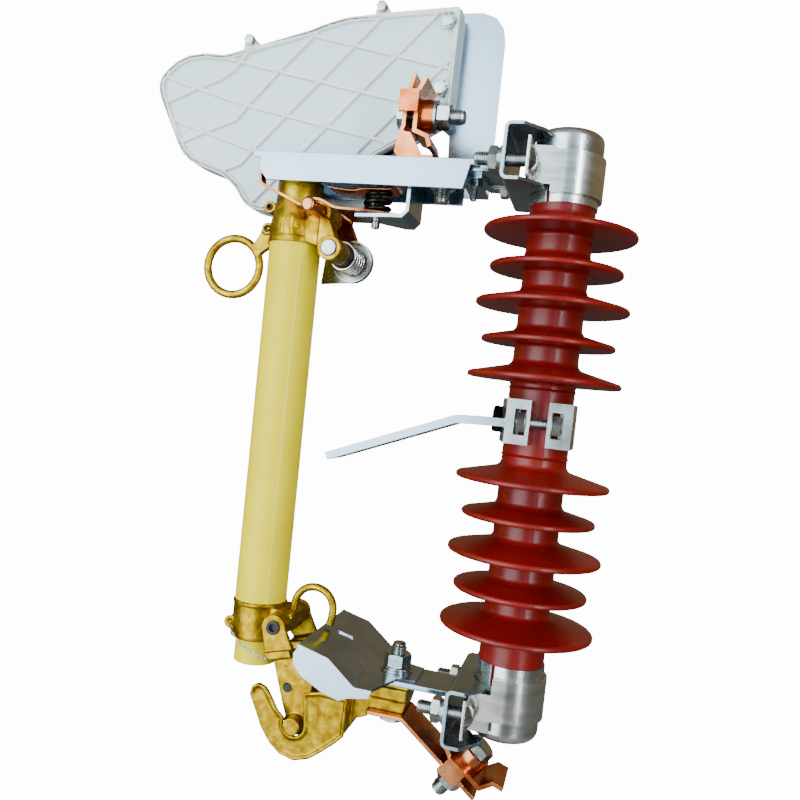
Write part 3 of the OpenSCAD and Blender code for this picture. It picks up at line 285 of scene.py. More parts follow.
# Matt black: black rubber parts, and painted shade in an open hole and a gap that look dark only
# from shadow
BLACK_RUBBER_AND_HOLE_SHADE = coated(
    "black_rubber_and_hole_shade", ("#12130f", "#1c1d18"), patch_mm=8, grain_mm=1, bump_mm=0.02,
    settings={"Roughness": 0.55},
)

FINISH = {
    "silicone": SILICONE,
    "galvanised_steel": GALVANISED,
    "zinc_plated_steel": ZINC,
    "bolt_steel": BOLT_STEEL,
    "dark_steel": BLACK_STEEL,
    "copper": COPPER,
    "bronze": BRONZE,
    "fibreglass": LACQUER,
    "chute_plastic": POLYCARBONATE,
}
# The solids that pieces stand for get their finish too
SLOT_OF = {s["node"]: s["material_slot"] for s in frame["record"]["subparts"]}
for name, node in frame["nodes"].items():
    node.data.materials.clear()
    node.data.materials.append(FINISH[SLOT_OF[name]])


# ------------------------------------------------------------------ shapes
def turned(start, way):
    """Carries the Z axis to way, and the origin to start."""
    return Matrix.Translation(start) @ Vector(way).to_track_quat("Z", "Y").to_matrix().to_4x4()


def as_mesh(shape, name="carrier"):
    """A mesh of a bmesh, which is used up."""
    mesh = bpy.data.meshes.new(name)
    shape.to_mesh(mesh)
    shape.free()
    return mesh


def add_object(name, data):
    """A new object, in the scene."""
    made = bpy.data.objects.new(name, data)
    bpy.context.scene.collection.objects.link(made)
    return made


def join(*shapes):
    """One bmesh of several, which are used up."""
    whole = bmesh.new()
    for shape in shapes:
        carrier = as_mesh(shape)
        whole.from_mesh(carrier)
        bpy.data.meshes.remove(carrier)
    return whole


def moved(shape, matrix):
    """Moves a shape by a matrix and hands it back."""
    bmesh.ops.transform(shape, matrix=matrix, verts=shape.verts)
    return shape


def mirrored(shape):
    """A shape with its mirror image across Y = 0."""
    other = shape.copy()
    bmesh.ops.scale(other, vec=(1, -1, 1), verts=other.verts)
    bmesh.ops.reverse_faces(other, faces=other.faces)
    return join(shape, other)


def corners_rounded(shape, points, verts):
    """Rounds each vertex whose point gives a third value, which is how far to round it."""
    sizes = sorted({p[2] for p in points if len(p) > 2 and p[2]})
    for size in sizes:
        bmesh.ops.bevel(
            shape, geom=[v for v, p in zip(verts, points) if len(p) > 2 and p[2] == size],
            offset=size, offset_type="OFFSET", segments=6, profile=0.5, affect="VERTICES",
            material=-1, clamp_overlap=True,
        )


def bent_line(points, y=0, closed=False):
    """A line of edges through (x, z, rounding) points in the plane Y = y."""
    shape = bmesh.new()
    verts = [shape.verts.new((p[0], y, p[1])) for p in points]
    for a, b in zip(verts, verts[1:] + verts[:1] if closed else verts[1:]):
        shape.edges.new((a, b))
    corners_rounded(shape, points, verts)
    return shape


def folded(edge, angle):
    """Whether the faces beside an edge turn by more than an angle in degrees."""
    return edge.is_manifold and edge.calc_face_angle(0) > math.radians(angle)


def rounded(shape, edges, width, segments):
    """Rounds some edges of a shape and hands it back."""
    bmesh.ops.bevel(
        shape, geom=edges, offset=width, offset_type="OFFSET", segments=segments, profile=0.5,
        affect="EDGES", material=-1, clamp_overlap=True,
    )
    return shape


def softened(shape, width, angle=35, segments=2):
    """Rounds the edges that are sharper than an angle in degrees."""
    return rounded(shape, [e for e in shape.edges if folded(e, angle)], width, segments)


def sliced(shape, point, facing, clear=True):
    """Cuts a shape by a plane through a point, and clears what lies on the side it faces."""
    bmesh.ops.bisect_plane(
        shape, geom=shape.verts[:] + shape.edges[:] + shape.faces[:],
        plane_co=point, plane_no=facing, clear_outer=clear,
    )


def cut_off(shape, point, facing):
    """Slices a solid and closes the cut."""
    sliced(shape, point, facing)
    bmesh.ops.holes_fill(shape, edges=[e for e in shape.edges if e.is_boundary])


def drawn_out(shape, raised, depth):
    """Moves what an extrusion raised along Y, and turns all faces outwards."""
    bmesh.ops.translate(
        shape, vec=(0, depth, 0),
        verts=[v for v in raised["geom"] if isinstance(v, bmesh.types.BMVert)],
    )
    bmesh.ops.recalc_face_normals(shape, faces=shape.faces)
    return shape


def lathe(profile, start=(0, 0, 0), way=UP, steps=64, closed=False):
    """Turns a profile of (radius, height, rounding) points about an axis."""
    shape = bent_line(profile, closed=closed)
    bmesh.ops.spin(
        shape, geom=shape.verts[:] + shape.edges[:], cent=(0, 0, 0), axis=UP,
        angle=2 * math.pi, steps=steps, use_merge=True,
    )
    bmesh.ops.remove_doubles(shape, verts=shape.verts, dist=1e-4)
    bmesh.ops.recalc_face_normals(shape, faces=shape.faces)
    return moved(shape, turned(start, way))


def band(inside, outside, low, high, start=(0, 0, 0), way=UP, steps=64):
    """A square-edged ring between two radii."""
    return lathe([(inside, low), (outside, low), (outside, high), (inside, high)], start, way,
                 steps, closed=True)


def rod(start, end, r, chamfer=0.0):
    """A round bar, with chamfered ends where a chamfer is given."""
    way = Vector(end) - Vector(start)
    length = way.length
    return lathe(
        [(0, 0), (r - chamfer, 0), (r, chamfer), (r, length - chamfer), (r - chamfer, length),
         (0, length)] if chamfer else [(0, 0), (r, 0), (r, length), (0, length)],
        start, way, 48,
    )


def slab(outline, low, high):
    """Raises an outline of (x, z, rounding) points from Y low to Y high."""
    shape = bmesh.new()
    verts = [shape.verts.new((p[0], low, p[1])) for p in outline]
    shape.faces.new(verts)
    corners_rounded(shape, outline, verts)
    raised = bmesh.ops.extrude_face_region(shape, geom=shape.faces[:])
    return drawn_out(shape, raised, high - low)


def on_axis(pin, y):
    """The point at Y = y on the axis of a pin that is given as (x, z)."""
    return pin[0], y, pin[1]


def arc(x, z, r, start, end, count):
    """Points on a circle in X-Z, from one angle to another in degrees."""
    turns = [math.radians(start + (end - start) * i / count) for i in range(count + 1)]
    return [(x + r * math.cos(t), z + r * math.sin(t)) for t in turns]


def wire(points, r, closed=False):
    """A round bar that follows points."""
    line = bpy.data.curves.new("line", "CURVE")
    line.dimensions = "3D"
    line.bevel_depth, line.bevel_resolution, line.use_fill_caps = r, 5, True
    spline = line.splines.new("POLY")
    spline.points.add(len(points) - 1)
    for point, place in zip(spline.points, points):
        point.co = (*place, 1)
    spline.use_cyclic_u = closed
    holder = bpy.data.objects.new("line", line)
    carrier = bpy.data.meshes.new_from_object(holder)
    shape = bmesh.new()
    shape.from_mesh(carrier)
    bmesh.ops.remove_doubles(shape, verts=shape.verts, dist=1e-4)
    bmesh.ops.recalc_face_normals(shape, faces=shape.faces)
    bpy.data.meshes.remove(carrier)
    bpy.data.objects.remove(holder)
    bpy.data.curves.remove(line)
    return shape


def helix(radius, low, high, turns, per_turn=28):
    """Points of a coil about Z."""
    count = round(turns * per_turn)
    points = []
    for i in range(count + 1):
        turn = 2 * math.pi * i / per_turn
        points.append(
            (radius * math.cos(turn), radius * math.sin(turn), low + (high - low) * i / count)
        )
    return points


# Standard coarse pitches of M6, M8, M10 and M12, by the screw's radius
PITCH_OF = {3: 1, 4: 1.25, 5: 1.5, 6: 1.75}


def thread(start, way, r, length):
    """A screw thread: one ridge spun along a core with a chamfered tip."""
    pitch = PITCH_OF[r]
    core_r = r - 0.55 * pitch
    root, steps_per_turn = core_r - 0.2, 20
    ridge = bmesh.new()
    corners = [(root, 0), (core_r, 0), (r, pitch * 0.45), (r, pitch * 0.55),
               (core_r, pitch), (root, pitch)]
    verts = [ridge.verts.new((x, 0, z)) for x, z in corners]
    end = ridge.faces.new(verts)
    climb = length - 2 * pitch
    turns = climb / pitch
    count = round(turns * steps_per_turn)
    bmesh.ops.spin(
        ridge, geom=[end] + list(end.edges) + verts, cent=(0, 0, 0), axis=UP,
        dvec=(0, 0, climb / count), angle=2 * math.pi * turns, steps=count,
    )
    bmesh.ops.recalc_face_normals(ridge, faces=ridge.faces)
    core = lathe(
        [(0, 0), (core_r, 0), (core_r, length - pitch / 2), (core_r - 1, length), (0, length)],
        steps=32,
    )
    return moved(join(core, ridge), turned(start, way))


def nut(start, way, across, height):
    """A hexagon nut or head: a turned blank with sloping shoulders, cut to six sides."""
    corner, end_r = across / math.sqrt(3), across / 2 * 0.96
    slope = (corner - end_r) * 0.55
    blank = lathe(
        [(0, 0), (end_r, 0), (corner, slope), (corner, height - slope), (end_r, height),
         (0, height)], steps=72,
    )
    for side in range(6):
        turn = math.radians(60 * side + 30)
        face = Vector((math.cos(turn), math.sin(turn), 0))
        cut_off(blank, face * across / 2, face)
    bmesh.ops.recalc_face_normals(blank, faces=blank.faces)
    return moved(blank, turned(start, way))


def washer(start, way, r, thick, bore):
    """A washer with a bore of this radius."""
    return lathe(
        [(bore, 0), (r, 0, 0.3), (r, thick, 0.3), (bore, thick)], start, way, 48, closed=True
    )


def dome(start, way, r, height):
    """A mushroom head, flat side down."""
    ball = (r * r + height * height) / (2 * height)
    rise = [
        (ball * math.sin(t), height - ball + ball * math.cos(t))
        for t in (math.asin(min(1, r / ball)) * i / 8 for i in range(9))
    ]
    return lathe([*rise, (r - 0.3, 0), (0, 0)], start, way, 48)


def cad_copy(node):
    """A CAD solid's faces, merged and with its flat sides made whole, in mm."""
    shape = bmesh.new()
    shape.from_mesh(frame["nodes"][node].data)
    bmesh.ops.transform(shape, matrix=TO_MM, verts=shape.verts)
    bmesh.ops.remove_doubles(shape, verts=shape.verts, dist=1e-3)
    bmesh.ops.dissolve_limit(
        shape, angle_limit=math.radians(1), verts=shape.verts, edges=shape.edges
    )
    return shape


def cast(shape, cell, passes):
    """Runs separate shells together into one skin with small fillets, as in a casting."""
    carrier = as_mesh(shape)
    holder = add_object("carrier", carrier)
    skin = holder.modifiers.new("skin", "REMESH")
    skin.mode, skin.voxel_size = "VOXEL", cell
    smooth = holder.modifiers.new("smooth", "SMOOTH")
    smooth.factor, smooth.iterations = 0.5, passes
    finished = bpy.data.meshes.new_from_object(
        holder.evaluated_get(bpy.context.evaluated_depsgraph_get())
    )
    fused = bmesh.new()
    fused.from_mesh(finished)
    bpy.data.objects.remove(holder)
    bpy.data.meshes.remove(carrier)
    bpy.data.meshes.remove(finished)
    return fused


def fit(name, body, material, shape, *nodes, slot=None, smooth=40):
    """Makes a shape a piece that rides on a body and stands for CAD nodes. Its flat faces
    keep flat shading beside rounded edges."""
    mesh = as_mesh(moved(shape, TO_FRAME), name)
    mesh.polygons.foreach_set("use_smooth", [True] * len(mesh.polygons))
    mesh.set_sharp_from_angle(angle=math.radians(smooth))
    mesh.materials.append(material)
    made = add_object(name, mesh)
    made.modifiers.new("flat_faces", "WEIGHTED_NORMAL").keep_sharp = True
    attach(made, body)
    if nodes:
        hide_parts(*nodes)


def fit_solid(name, body, material, node, *rounding):
    """Fits a CAD node's own shape, with its edges softened."""
    fit(name, body, material, softened(cad_copy(node), *rounding), node)


# ------------------------------------------------------------------ insulator and caps
def insulator():
    """One half turn of the moulded body, copied for the other half, with a fine mould seam
    where they meet."""
    neck, core, big, small, rim, slope = 22.25, 23.5, 55, 48, 4, 14
    pitch, middle_gap, ring_gap, seam = 26.3, 73, 48, 0.22
    neck_low, body_low, body_high = -213, -166, 160
    profile = [(0, neck_low), (neck, neck_low), (neck, body_low), (core, body_low)]
    sheds = []
    for i in range(5):
        reach = big if i % 2 == 0 else small
        sheds += [(-middle_gap / 2 - i * pitch, reach), (middle_gap / 2 + i * pitch, reach)]
    rings = [(CLAMP_Z - ring_gap / 2, 0), (CLAMP_Z + ring_gap / 2, 0)]
    for height, reach in sorted(sheds + rings):
        if reach:
            rise = (reach - core) * math.tan(math.radians(slope))
            profile += [(core, height - rim / 2, 3), (reach, height - rim / 2, 1.9),
                        (reach, height + rim / 2, 1.9), (core, height + rim / 2 + rise, 4)]
        else:
            profile += [(core, height - 1), (core + 0.9, height), (core, height + 1)]
    profile += [(core, body_high), (neck, body_high), (neck, NECK_TOP), (0, NECK_TOP)]
    half = bent_line(profile)
    edge = half.verts[:] + half.edges[:]
    for v in half.verts:
        if v.co.x > core - 0.5:
            v.co.x += seam
    seam_turn = math.radians(0.7)
    body_turn = math.pi - 2 * seam_turn
    for angle, steps, push in ((seam_turn, 1, -seam), (body_turn, 54, 0), (seam_turn, 1, seam)):
        edge = bmesh.ops.spin(
            half, geom=edge, cent=(0, 0, 0), axis=UP, angle=angle, steps=steps
        )["geom_last"]
        for v in [g for g in edge if isinstance(g, bmesh.types.BMVert)]:
            out = Vector((v.co.x, v.co.y, 0))
            if out.length > core - 0.5 and push:
                v.co += out.normalized() * push
    other = moved(half.copy(), Matrix.Rotation(math.pi, 4, "Z"))
    whole = join(half, other)
    bmesh.ops.remove_doubles(whole, verts=whole.verts, dist=1e-3)
    bmesh.ops.recalc_face_normals(whole, faces=whole.faces)
    return moved(whole, Matrix.Rotation(math.radians(-72), 4, "Z"))


fit("insulator_body", "frame", SILICONE, insulator(), "insulator")
for end in ("top", "bottom"):
    fit_solid(f"{end}_end_cap", "frame", GALVANISED, f"{end}_cap", 0.5)
    fit_solid(f"{end}_band", "frame", BAND_STEEL, f"{end}_strap", 0.5)
    fit_solid(f"{end}_channel", "frame", ZINC, f"{end}_bracket", 0.6)


def channel_bolt(y, z, back):
    """Carriage bolt from the band's ear through the channel, with washers and a nut behind
    the channel's back."""
    ear, washer_t, tail = -22.8, 1.6, 20
    return join(
        dome((ear, y, z), RIGHT, 9, 4.9),
        rod((ear - 2.6, y, z), (ear, y, z), 6.2),
        thread((ear - 0.1, y, z), LEFT, 5, ear - 0.1 - back + tail),
        washer((back, y, z), LEFT, 9.5, washer_t, 4),
        washer((back - washer_t, y, z), LEFT, 8, 1.8, 4),
        nut((back - 2 * washer_t, y, z), LEFT, 16, 6.4),
    )


for end, bolt_z, back in (("top", 184, -42), ("bottom", -199, -38)):
    fit(
        f"{end}_channel_bolts", "frame", BOLT_STEEL,
        join(*(channel_bolt(y, bolt_z, back) for y in (-36, 36))),
        f"{end}_strap_bolts",
    )

# ------------------------------------------------------------------ mid clamp and bar
for side in ("left", "right"):
    fit_solid(f"{side}_clamp_half", "frame", GALVANISED, f"mid_clamp_{side}", 1.6, 35, 4)


def clamp_bolt(y):
    """Stud between the clamp halves, with a nut and a thin washer inside each window."""
    ends = ((-6.3, LEFT), (11.3, RIGHT))
    left, right = (x for x, way in ends)
    return join(
        *(nut((x, y, CLAMP_Z), way, 13, 6.3) for x, way in ends),
        thread((left - 1, y, CLAMP_Z), RIGHT, 4, right - left + 2),
        *(washer((x, y, CLAMP_Z), way, 8, 0.6, 3) for x, way in ends),
    )


fit(
    "clamp_bolts", "frame", BOLT_STEEL, join(*(clamp_bolt(y) for y in (-29.4, 29.4))),
    "mid_clamp_bolts",
)
fit(
    "bar_root_bolt", "frame", BLACK_STEEL,
    join(nut((-26.5, 0, CLAMP_Z), LEFT, 19, 6), rod((-26.7, 0, CLAMP_Z), (-23.8, 0, CLAMP_Z), 5)),
    "bar_bolt",
)
fit_solid("mounting_strap", "frame", ZINC, "mounting_bar", 1.1, 35, 3)

# ------------------------------------------------------------------ top contact
fit_solid("top_arm_plate", "frame", ZINC, "top_arm", 0.5)
fit_solid("hood_plate", "frame", ZINC, "hood", 0.7)
HOOD_TOP, HOOD_BOLT_X, HOOD_SCREW_X = 187, -90, -66
fit(
    "hood_fastenings", "frame", BOLT_STEEL,
    join(
        dome((HOOD_BOLT_X, 0, HOOD_TOP), UP, 12, 7.5),
        thread((HOOD_BOLT_X, 0, HOOD_TOP), DOWN, 6, 27),
        nut((HOOD_BOLT_X, 0, 180.5), DOWN, 18, 10),
        dome((HOOD_SCREW_X, 0, HOOD_TOP), UP, 6, 3),
        thread((HOOD_SCREW_X, 0, HOOD_TOP), DOWN, 3, 24),
        nut((HOOD_SCREW_X, 0, 178), DOWN, 10, 5),
    ),
    "hood_bolts",
)


def bent_sheet(path, low, high):
    """A strip bent along (x, z, bend) points, from Y low to Y high."""
    shape = bent_line(path, low)
    raised = bmesh.ops.extrude_edge_only(shape, edges=shape.edges[:])
    return drawn_out(shape, raised, high - low)


def thickened(shape):
    """Gives a sheet of contact copper its thickness, and takes the sharpness off its edges."""
    bmesh.ops.solidify(shape, geom=shape.faces[:], thickness=1.6)
    bmesh.ops.recalc_face_normals(shape, faces=shape.faces)
    return softened(shape, 0.3, 50)


def trimmed(shape, *cuts):
    """Cuts a sheet by planes through (x, y) points: what lies to the right of each line goes."""
    for start, end in cuts:
        sliced(shape, (*start, 0), (end[1] - start[1], start[0] - end[0], 0))
    return shape


def cut_window(shape, low, high):
    """Takes the part of a sheet between two (x, y) corners away. A window that runs off the
    sheet has an infinite side there."""
    for facing, places in ((RIGHT, (low[0], high[0])), (AWAY, (low[1], high[1]))):
        for place in filter(math.isfinite, places):
            sliced(shape, Vector(facing) * place, facing, clear=False)
    gone = []
    for face in shape.faces:
        middle = face.calc_center_median()
        if low[0] < middle.x < high[0] and low[1] < middle.y < high[1]:
            gone.append(face)
    bmesh.ops.delete(shape, geom=gone, context="FACES")


def contact_strip():
    """Fork that straddles the casting: two prongs hump over the pin and turn up at the tip."""
    path = [(-226.5, 169), (-224.5, 161, 2), (-190.4, 146.2, 2.5), (-186.4, 150.5, 2.5),
            (-180, 153, 4), (-173.6, 150.5, 3), (-166, 146.7, 4), (-113, 146.7)]
    near, far, slot_half = -28, 25.4, 18.8
    sheet = bent_sheet(path, near, far)
    cut_window(sheet, (-math.inf, -slot_half), (-165, slot_half))
    cut_window(sheet, (-math.inf, slot_half), (-212, math.inf))
    trimmed(
        sheet, ((-165, near), (-144, -20.5)), ((-144, -20.5), (-114, -17)),
        ((-144, 20.5), (-165, far)), ((-114, 17), (-144, 20.5)),
    )
    return thickened(sheet)


fit("contact_fork", "frame", COPPER, contact_strip(), "contact_strip")
fit(
    "contact_leaf", "frame", COPPER,
    thickened(bent_sheet(
        [(-112.5, 183.6), (-119.5, 183.6, 3), (-126, 167.6, 4), (-149, 167.3, 4),
         (-155, 165.2, 4), (-167, 165.8, 5), (-177, 167.6)],
        -11, 11)),
    "spring_leaf",
)


def pressure_spring():
    """Black coil with ground ends: a helix cut flat above and below."""
    coil = wire(helix(9.1, 148.2, 165.5, 3.1), 1.85)
    moved(coil, Matrix.Translation((SPRING_X, 0, 0)))
    for place, facing in ((147.6, DOWN), (166.1, UP)):
        cut_off(coil, (0, 0, place), facing)
    return coil


fit("pressure_spring", "frame", BLACK_STEEL, pressure_spring(), "contact_spring")
fit_solid("spring_bracket", "frame", ZINC, "spring_hook", 0.8, 30, 3)
fit(
    "spring_stud", "frame", BOLT_STEEL,
    join(
        thread((SPRING_X, 0, 166), DOWN, 3, 27.5),
        rod((SPRING_X, 0, 139.2), (SPRING_X, 0, 143.4), 3.4, 0.5),
    ),
    slot="bolt_steel",
)

# ------------------------------------------------------------------ arc chute
RIM_W, RIB_HALF_W = 4.4, 1.7
EAR_PLACES = ((-162, 321.5), (-274, 294.5))
# Outline of the chute, anticlockwise from its upper right corner, what of it has a wall to
# the other half, and the middle lines of its ribs
CHUTE_EDGE = [
    (-98, 322), (-150, 318), (-190, 314), (-206, 309.5), (-223, 303), (-262, 292), (-296, 282.5),
    (-314, 284), (-329, 282), (-340, 277), (-349, 269), (-354, 262), (-355, 254), (-352, 245),
    (-338, 219), (-332, 208), (-326, 199), (-318, 192), (-308, 188), (-288, 182), (-280, 177),
    (-272, 170), (-266, 161), (-260, 156), (-248, 153), (-214, 158), (-158, 158), (-156, 202),
    (-98, 237),
]
CLOSED_EDGE = [CHUTE_EDGE[-1], *CHUTE_EDGE[:26]]
CHUTE_RIBS = [
    [(-227, 301), (-100, 273)], [(-297, 280.3), (-100, 238.5)],
    [(-349, 263.5), (-318, 254), (-273, 241), (-140, 212.5)],
    [(-339, 227), (-262, 203.5), (-180, 186)],
    [(-349, 240.5), (-318, 254), (-297, 262.5), (-286, 270.5), (-276, 284), (-267, 290.5)],
    [(-331, 206.5), (-306, 217.5), (-280, 228), (-271, 240), (-246, 269), (-211, 307)],
    [(-288, 184.5), (-271, 191.5), (-262, 203), (-181, 292.5), (-160, 316)],
    [(-259, 158), (-115, 318)], [(-211, 160), (-100, 283)],
]


def offset_points(points, width, closed):
    """Each (x, z) point moved to the left of the way along the points."""
    spots = [Vector(p) for p in points]
    last = len(spots) - 1
    shifted = []
    for i, spot in enumerate(spots):
        ways = []
        if i or closed:
            ways.append((spot - spots[i - 1]).normalized())
        if i < last or closed:
            ways.append((spots[(i + 1) % len(spots)] - spot).normalized())
        sides = [Vector((-w.y, w.x)) for w in ways]
        total = sum(sides, Vector((0, 0)))
        shifted.append(spot + total * width / (total.dot(sides[0])))
    return [tuple(s) for s in shifted]


def wall(left, right, low, high, taper=0.0, closed=False):
    """A wall between two matching lines of (x, z) points, from Y low to Y high. Its low
    side is narrower by taper."""
    shape = bmesh.new()
    rows = []
    for y, inward in ((low, taper), (high, 0)):
        row = []
        for a, b in zip(left, right):
            across = (Vector(b) - Vector(a)).normalized() * inward
            ends = Vector(a) + across, Vector(b) - across
            row.append([shape.verts.new((end.x, y, end.y)) for end in ends])
        rows.append(row)
    steps = list(zip(range(len(left)), [*range(1, len(left)), 0]))
    for i, k in steps if closed else steps[:-1]:
        (a, b), (c, d) = rows[0][i], rows[0][k]
        (e, f), (g, h) = rows[1][i], rows[1][k]
        for corners in ((a, c, d, b), (e, f, h, g), (a, e, g, c), (b, d, h, f)):
            shape.faces.new(corners)
    if not closed:
        for i in (0, -1):
            (a, b), (e, f) = rows[0][i], rows[1][i]
            shape.faces.new((a, b, f, e))
    bmesh.ops.recalc_face_normals(shape, faces=shape.faces)
    return shape


def corners_eased(shape, width):
    """Rounds the edges that run along Y, so that an outline of short lines reads as a curve."""
    along = [
        e for e in shape.edges
        if abs((e.verts[0].co - e.verts[1].co).normalized().y) > 0.9 and folded(e, 3)
    ]
    return rounded(shape, along, width, 4)


def front_softened(shape, face):
    """Rounds the edges that lie in the plane Y = face."""
    front = [
        e for e in shape.edges
        if all(abs(v.co.y - face) < 1e-3 for v in e.verts) and folded(e, 45)
    ]
    return rounded(shape, front, 1.1, 3)


def chute_shell(side):
    """One half: a panel, a rim and lattice of ribs outside it, and the wall that spaces it
    from the other half, but for the lower right side, where the blade swings through."""
    face, ear, panel, inner = (CHUTE_MIDDLE + side * d for d in (12, 10.7, 9, 6.5))
    rim = wall(CHUTE_EDGE, offset_points(CHUTE_EDGE, RIM_W, True), face, inner, closed=True)
    spacer = wall(CLOSED_EDGE, offset_points(CLOSED_EDGE, RIM_W, False), inner, CHUTE_MIDDLE)
    shapes = [
        slab(offset_points(CHUTE_EDGE, 1, True), *sorted((panel, inner))),
        front_softened(corners_eased(rim, 3.4), face),
        corners_eased(spacer, 3.4),
    ]
    for rib in CHUTE_RIBS:
        lines = offset_points(rib, RIB_HALF_W, False), offset_points(rib, -RIB_HALF_W, False)
        ridge = wall(*lines, face, panel - side * 0.4, 0.45)
        shapes.append(softened(ridge, 0.35, 50))
    ledge_inside = [
        (-350, 254), (-345, 265.5), (-337, 272.5), (-327, 276.5), (-312, 278.5), (-297, 277.5),
        (-262, 287), (-222, 298), (-205, 304.5), (-189, 309), (-150, 313), (-102, 317),
        (-102, 240),
    ]
    shapes.append(
        slab([(-98.2, 240), *CHUTE_EDGE[:13], *ledge_inside], *sorted((inner, CHUTE_MIDDLE)))
    )
    ejector_rings = ((-146, 308.4, 4), (-106.6, 290.9, 5.5))
    for x, z, r in ejector_rings:
        shapes.append(lathe([(r - 0.5, 0), (r + 0.5, 0), (r + 0.3, 0.3), (r - 0.3, 0.3)],
                            (x, panel, z), (0, side, 0), 40, closed=True))
    raised_panel = [(-190.5, 282), (-188.2, 262), (-170.8, 262.3), (-155.4, 265.5),
                    (-155.6, 283.5), (-168, 289), (-184, 286)]
    shapes.append(slab(raised_panel, *sorted((panel, panel + side * 0.25))))
    shapes.append(join(*(
        slab([(x - 6, z - 9, 1), (x + 6, z - 7, 1), (x + 4.6, z + 3, 3), (x - 4.6, z + 3, 3)],
             *sorted((ear, CHUTE_MIDDLE)))
        for x, z in EAR_PLACES
    )))
    return join(*shapes)


for side, place in (("near", -1), ("far", 1)):
    fit(f"chute_{side}_shell", "frame", POLYCARBONATE, chute_shell(place), f"chute_{side}_half")
fit_solid("chute_backing", "frame", ZINC, "chute_plate", 0.4)


def chute_screw(x, z, near, far, head):
    """Screw from the near face to a nut on the far one, both with heads this far across."""
    return join(
        thread((x, near - 1.5, z), AWAY, 3, far - near + 6),
        nut((x, near, z), NEARER, head, 4.6),
        washer((x, near, z), NEARER, 0.62 * head, 0.9, 2),
        nut((x, far, z), AWAY, head, 3.6),
    )


fit(
    "chute_screw_set", "frame", BOLT_STEEL,
    join(*(chute_screw(-106, z, 26.2, 52.2, 10) for z in (310, 257)),
         *(chute_screw(x, z, 27.5, 49, 7.5) for x, z in EAR_PLACES)),
    "chute_screws",
)

# ------------------------------------------------------------------ terminals
# The seats carry Z to the bolts' axes. The bottom bolt points the other way.
AT_TOP = Matrix.Translation((-120, -4, 223.5)) @ Matrix.Rotation(math.radians(90), 4, "Y")
AT_BOTTOM = Matrix.Translation((-28.3, -4, -251)) @ Matrix.Rotation(math.radians(37.6), 4, "Y")
TURNED_ROUND = Matrix.Translation((0, 0, 18)) @ Matrix.Rotation(math.pi, 4, "X")
for end, seat in (("top", AT_TOP), ("bottom", AT_BOTTOM @ TURNED_ROUND)):
    for name in ("strap", "clamp"):
        fit_solid(f"{end}_copper_{name}", "frame", COPPER, f"{end}_terminal_{name}", 0.6, 30)
    fit(
        f"{end}_terminal_fastening", "frame", BOLT_STEEL,
        moved(join(
            nut((0, 0, -1.5), DOWN, 18, 7.5),
            thread((0, 0, -1.5), UP, 6, 43.5),
            washer((0, 0, 19.5), UP, 12, 2, 5),
            nut((0, 0, 21.5), UP, 18, 10),
        ), seat),
        f"{end}_terminal_bolt",
    )

# ------------------------------------------------------------------ hinge
fit_solid("bottom_arm_plate", "frame", ZINC, "bottom_arm", 0.5)
fit_solid("shield", "frame", ZINC, "shield_plate", 0.9, 25, 3)
fit(
    "hinge_fastening", "frame", BOLT_STEEL,
    join(
        washer((HINGE_BOLT_X, 0, -190), UP, 12, 1.6, 5),
        washer((HINGE_BOLT_X, 0, -188.4), UP, 10.4, 1.6, 5),
        nut((HINGE_BOLT_X, 0, -186.8), UP, 18, 10),
        thread((HINGE_BOLT_X, 0, -217), UP, 6, 48),
        nut((HINGE_BOLT_X, 0, -219.5), DOWN, 18, 7.5),
    ),
    "hinge_bolt",
)


def bead(outline, inward, y, r):
    """A raised bead that runs inside an outline of (x, z) points, at Y = y."""
    plan = bmesh.new()
    face = plan.faces.new([plan.verts.new((x, y, z)) for x, z in outline])
    bmesh.ops.inset_region(plan, faces=[face], thickness=inward, use_even_offset=True)
    path = [tuple(v.co) for v in face.verts]
    plan.free()
    return wire(path, r, closed=True)


def hook_outline():
    """Outline of a hook with its throat, from the upper right corner to the right."""
    throat = arc(-150, -236, 9.5, 160, 375, 18)
    return [
        (-112, -210), (-112, -236), (-118, -242), (-127, -250), (-136, -257), (-147, -260.5),
        (-158, -258), (-166, -252), (-174, -242), (-181, -228), (-185.5, -220), (-184.5, -214.5),
        (-181, -212), (-176, -213.5), (-172, -218), (-166, -227), *throat, (-143.5, -212),
        (-132, -209),
    ]


hinge_flange = slab([(-97, -199), (-70.2, -199), (-70.2, -207.5), (-97, -207.5)], -17, 17)
hinge_bead = bead(hook_outline(), inward=1.7, y=-26.9, r=1.6)
fit(
    "hinge_hooks", "frame", BRONZE,
    cast(
        join(cad_copy("hinge_casting"), mirrored(hinge_bead), hinge_flange), cell=0.62, passes=5
    ),
    "hinge_casting", smooth=60,
)

# ------------------------------------------------------------------ drop-out link
link_ledge = slab(
    [(-179, -187.5), (-158.5, -181.5), (-156.5, -186.5), (-174, -191.5)], -30.4, -26
)
fit(
    "toggle_arm", "link", BRONZE,
    cast(join(cad_copy("toggle_link"), mirrored(link_ledge)), cell=0.55, passes=4),
    "toggle_link", smooth=60,
)


def socket_pin():
    """Black pin with a collar and a sunk round socket in each end, and a black rod in the link's
    lower hole that is painted shade for the open hole."""
    hole_shade_x, hole_shade_z = -160.5, -213
    return join(
        lathe([(0, 3), (2.9, 3), (2.9, 0.2), (4, 0), (5.2, 0.3), (5.2, 1.4), (4.4, 1.5),
               (4.4, 57.5), (5.2, 57.6), (5.2, 58.7), (4, 59), (2.9, 58.8), (2.9, 56), (0, 56)],
              on_axis(TOGGLE_PIN, -29.5), AWAY, 48),
        # Painted shade: a black rod fills the link's open lower hole so that it reads dark
        rod((hole_shade_x, -20.3, hole_shade_z), (hole_shade_x, -14.5, hole_shade_z), 3.2),
    )


fit("toggle_pivot", "link", BLACK_RUBBER_AND_HOLE_SHADE, socket_pin(), "toggle_pin")

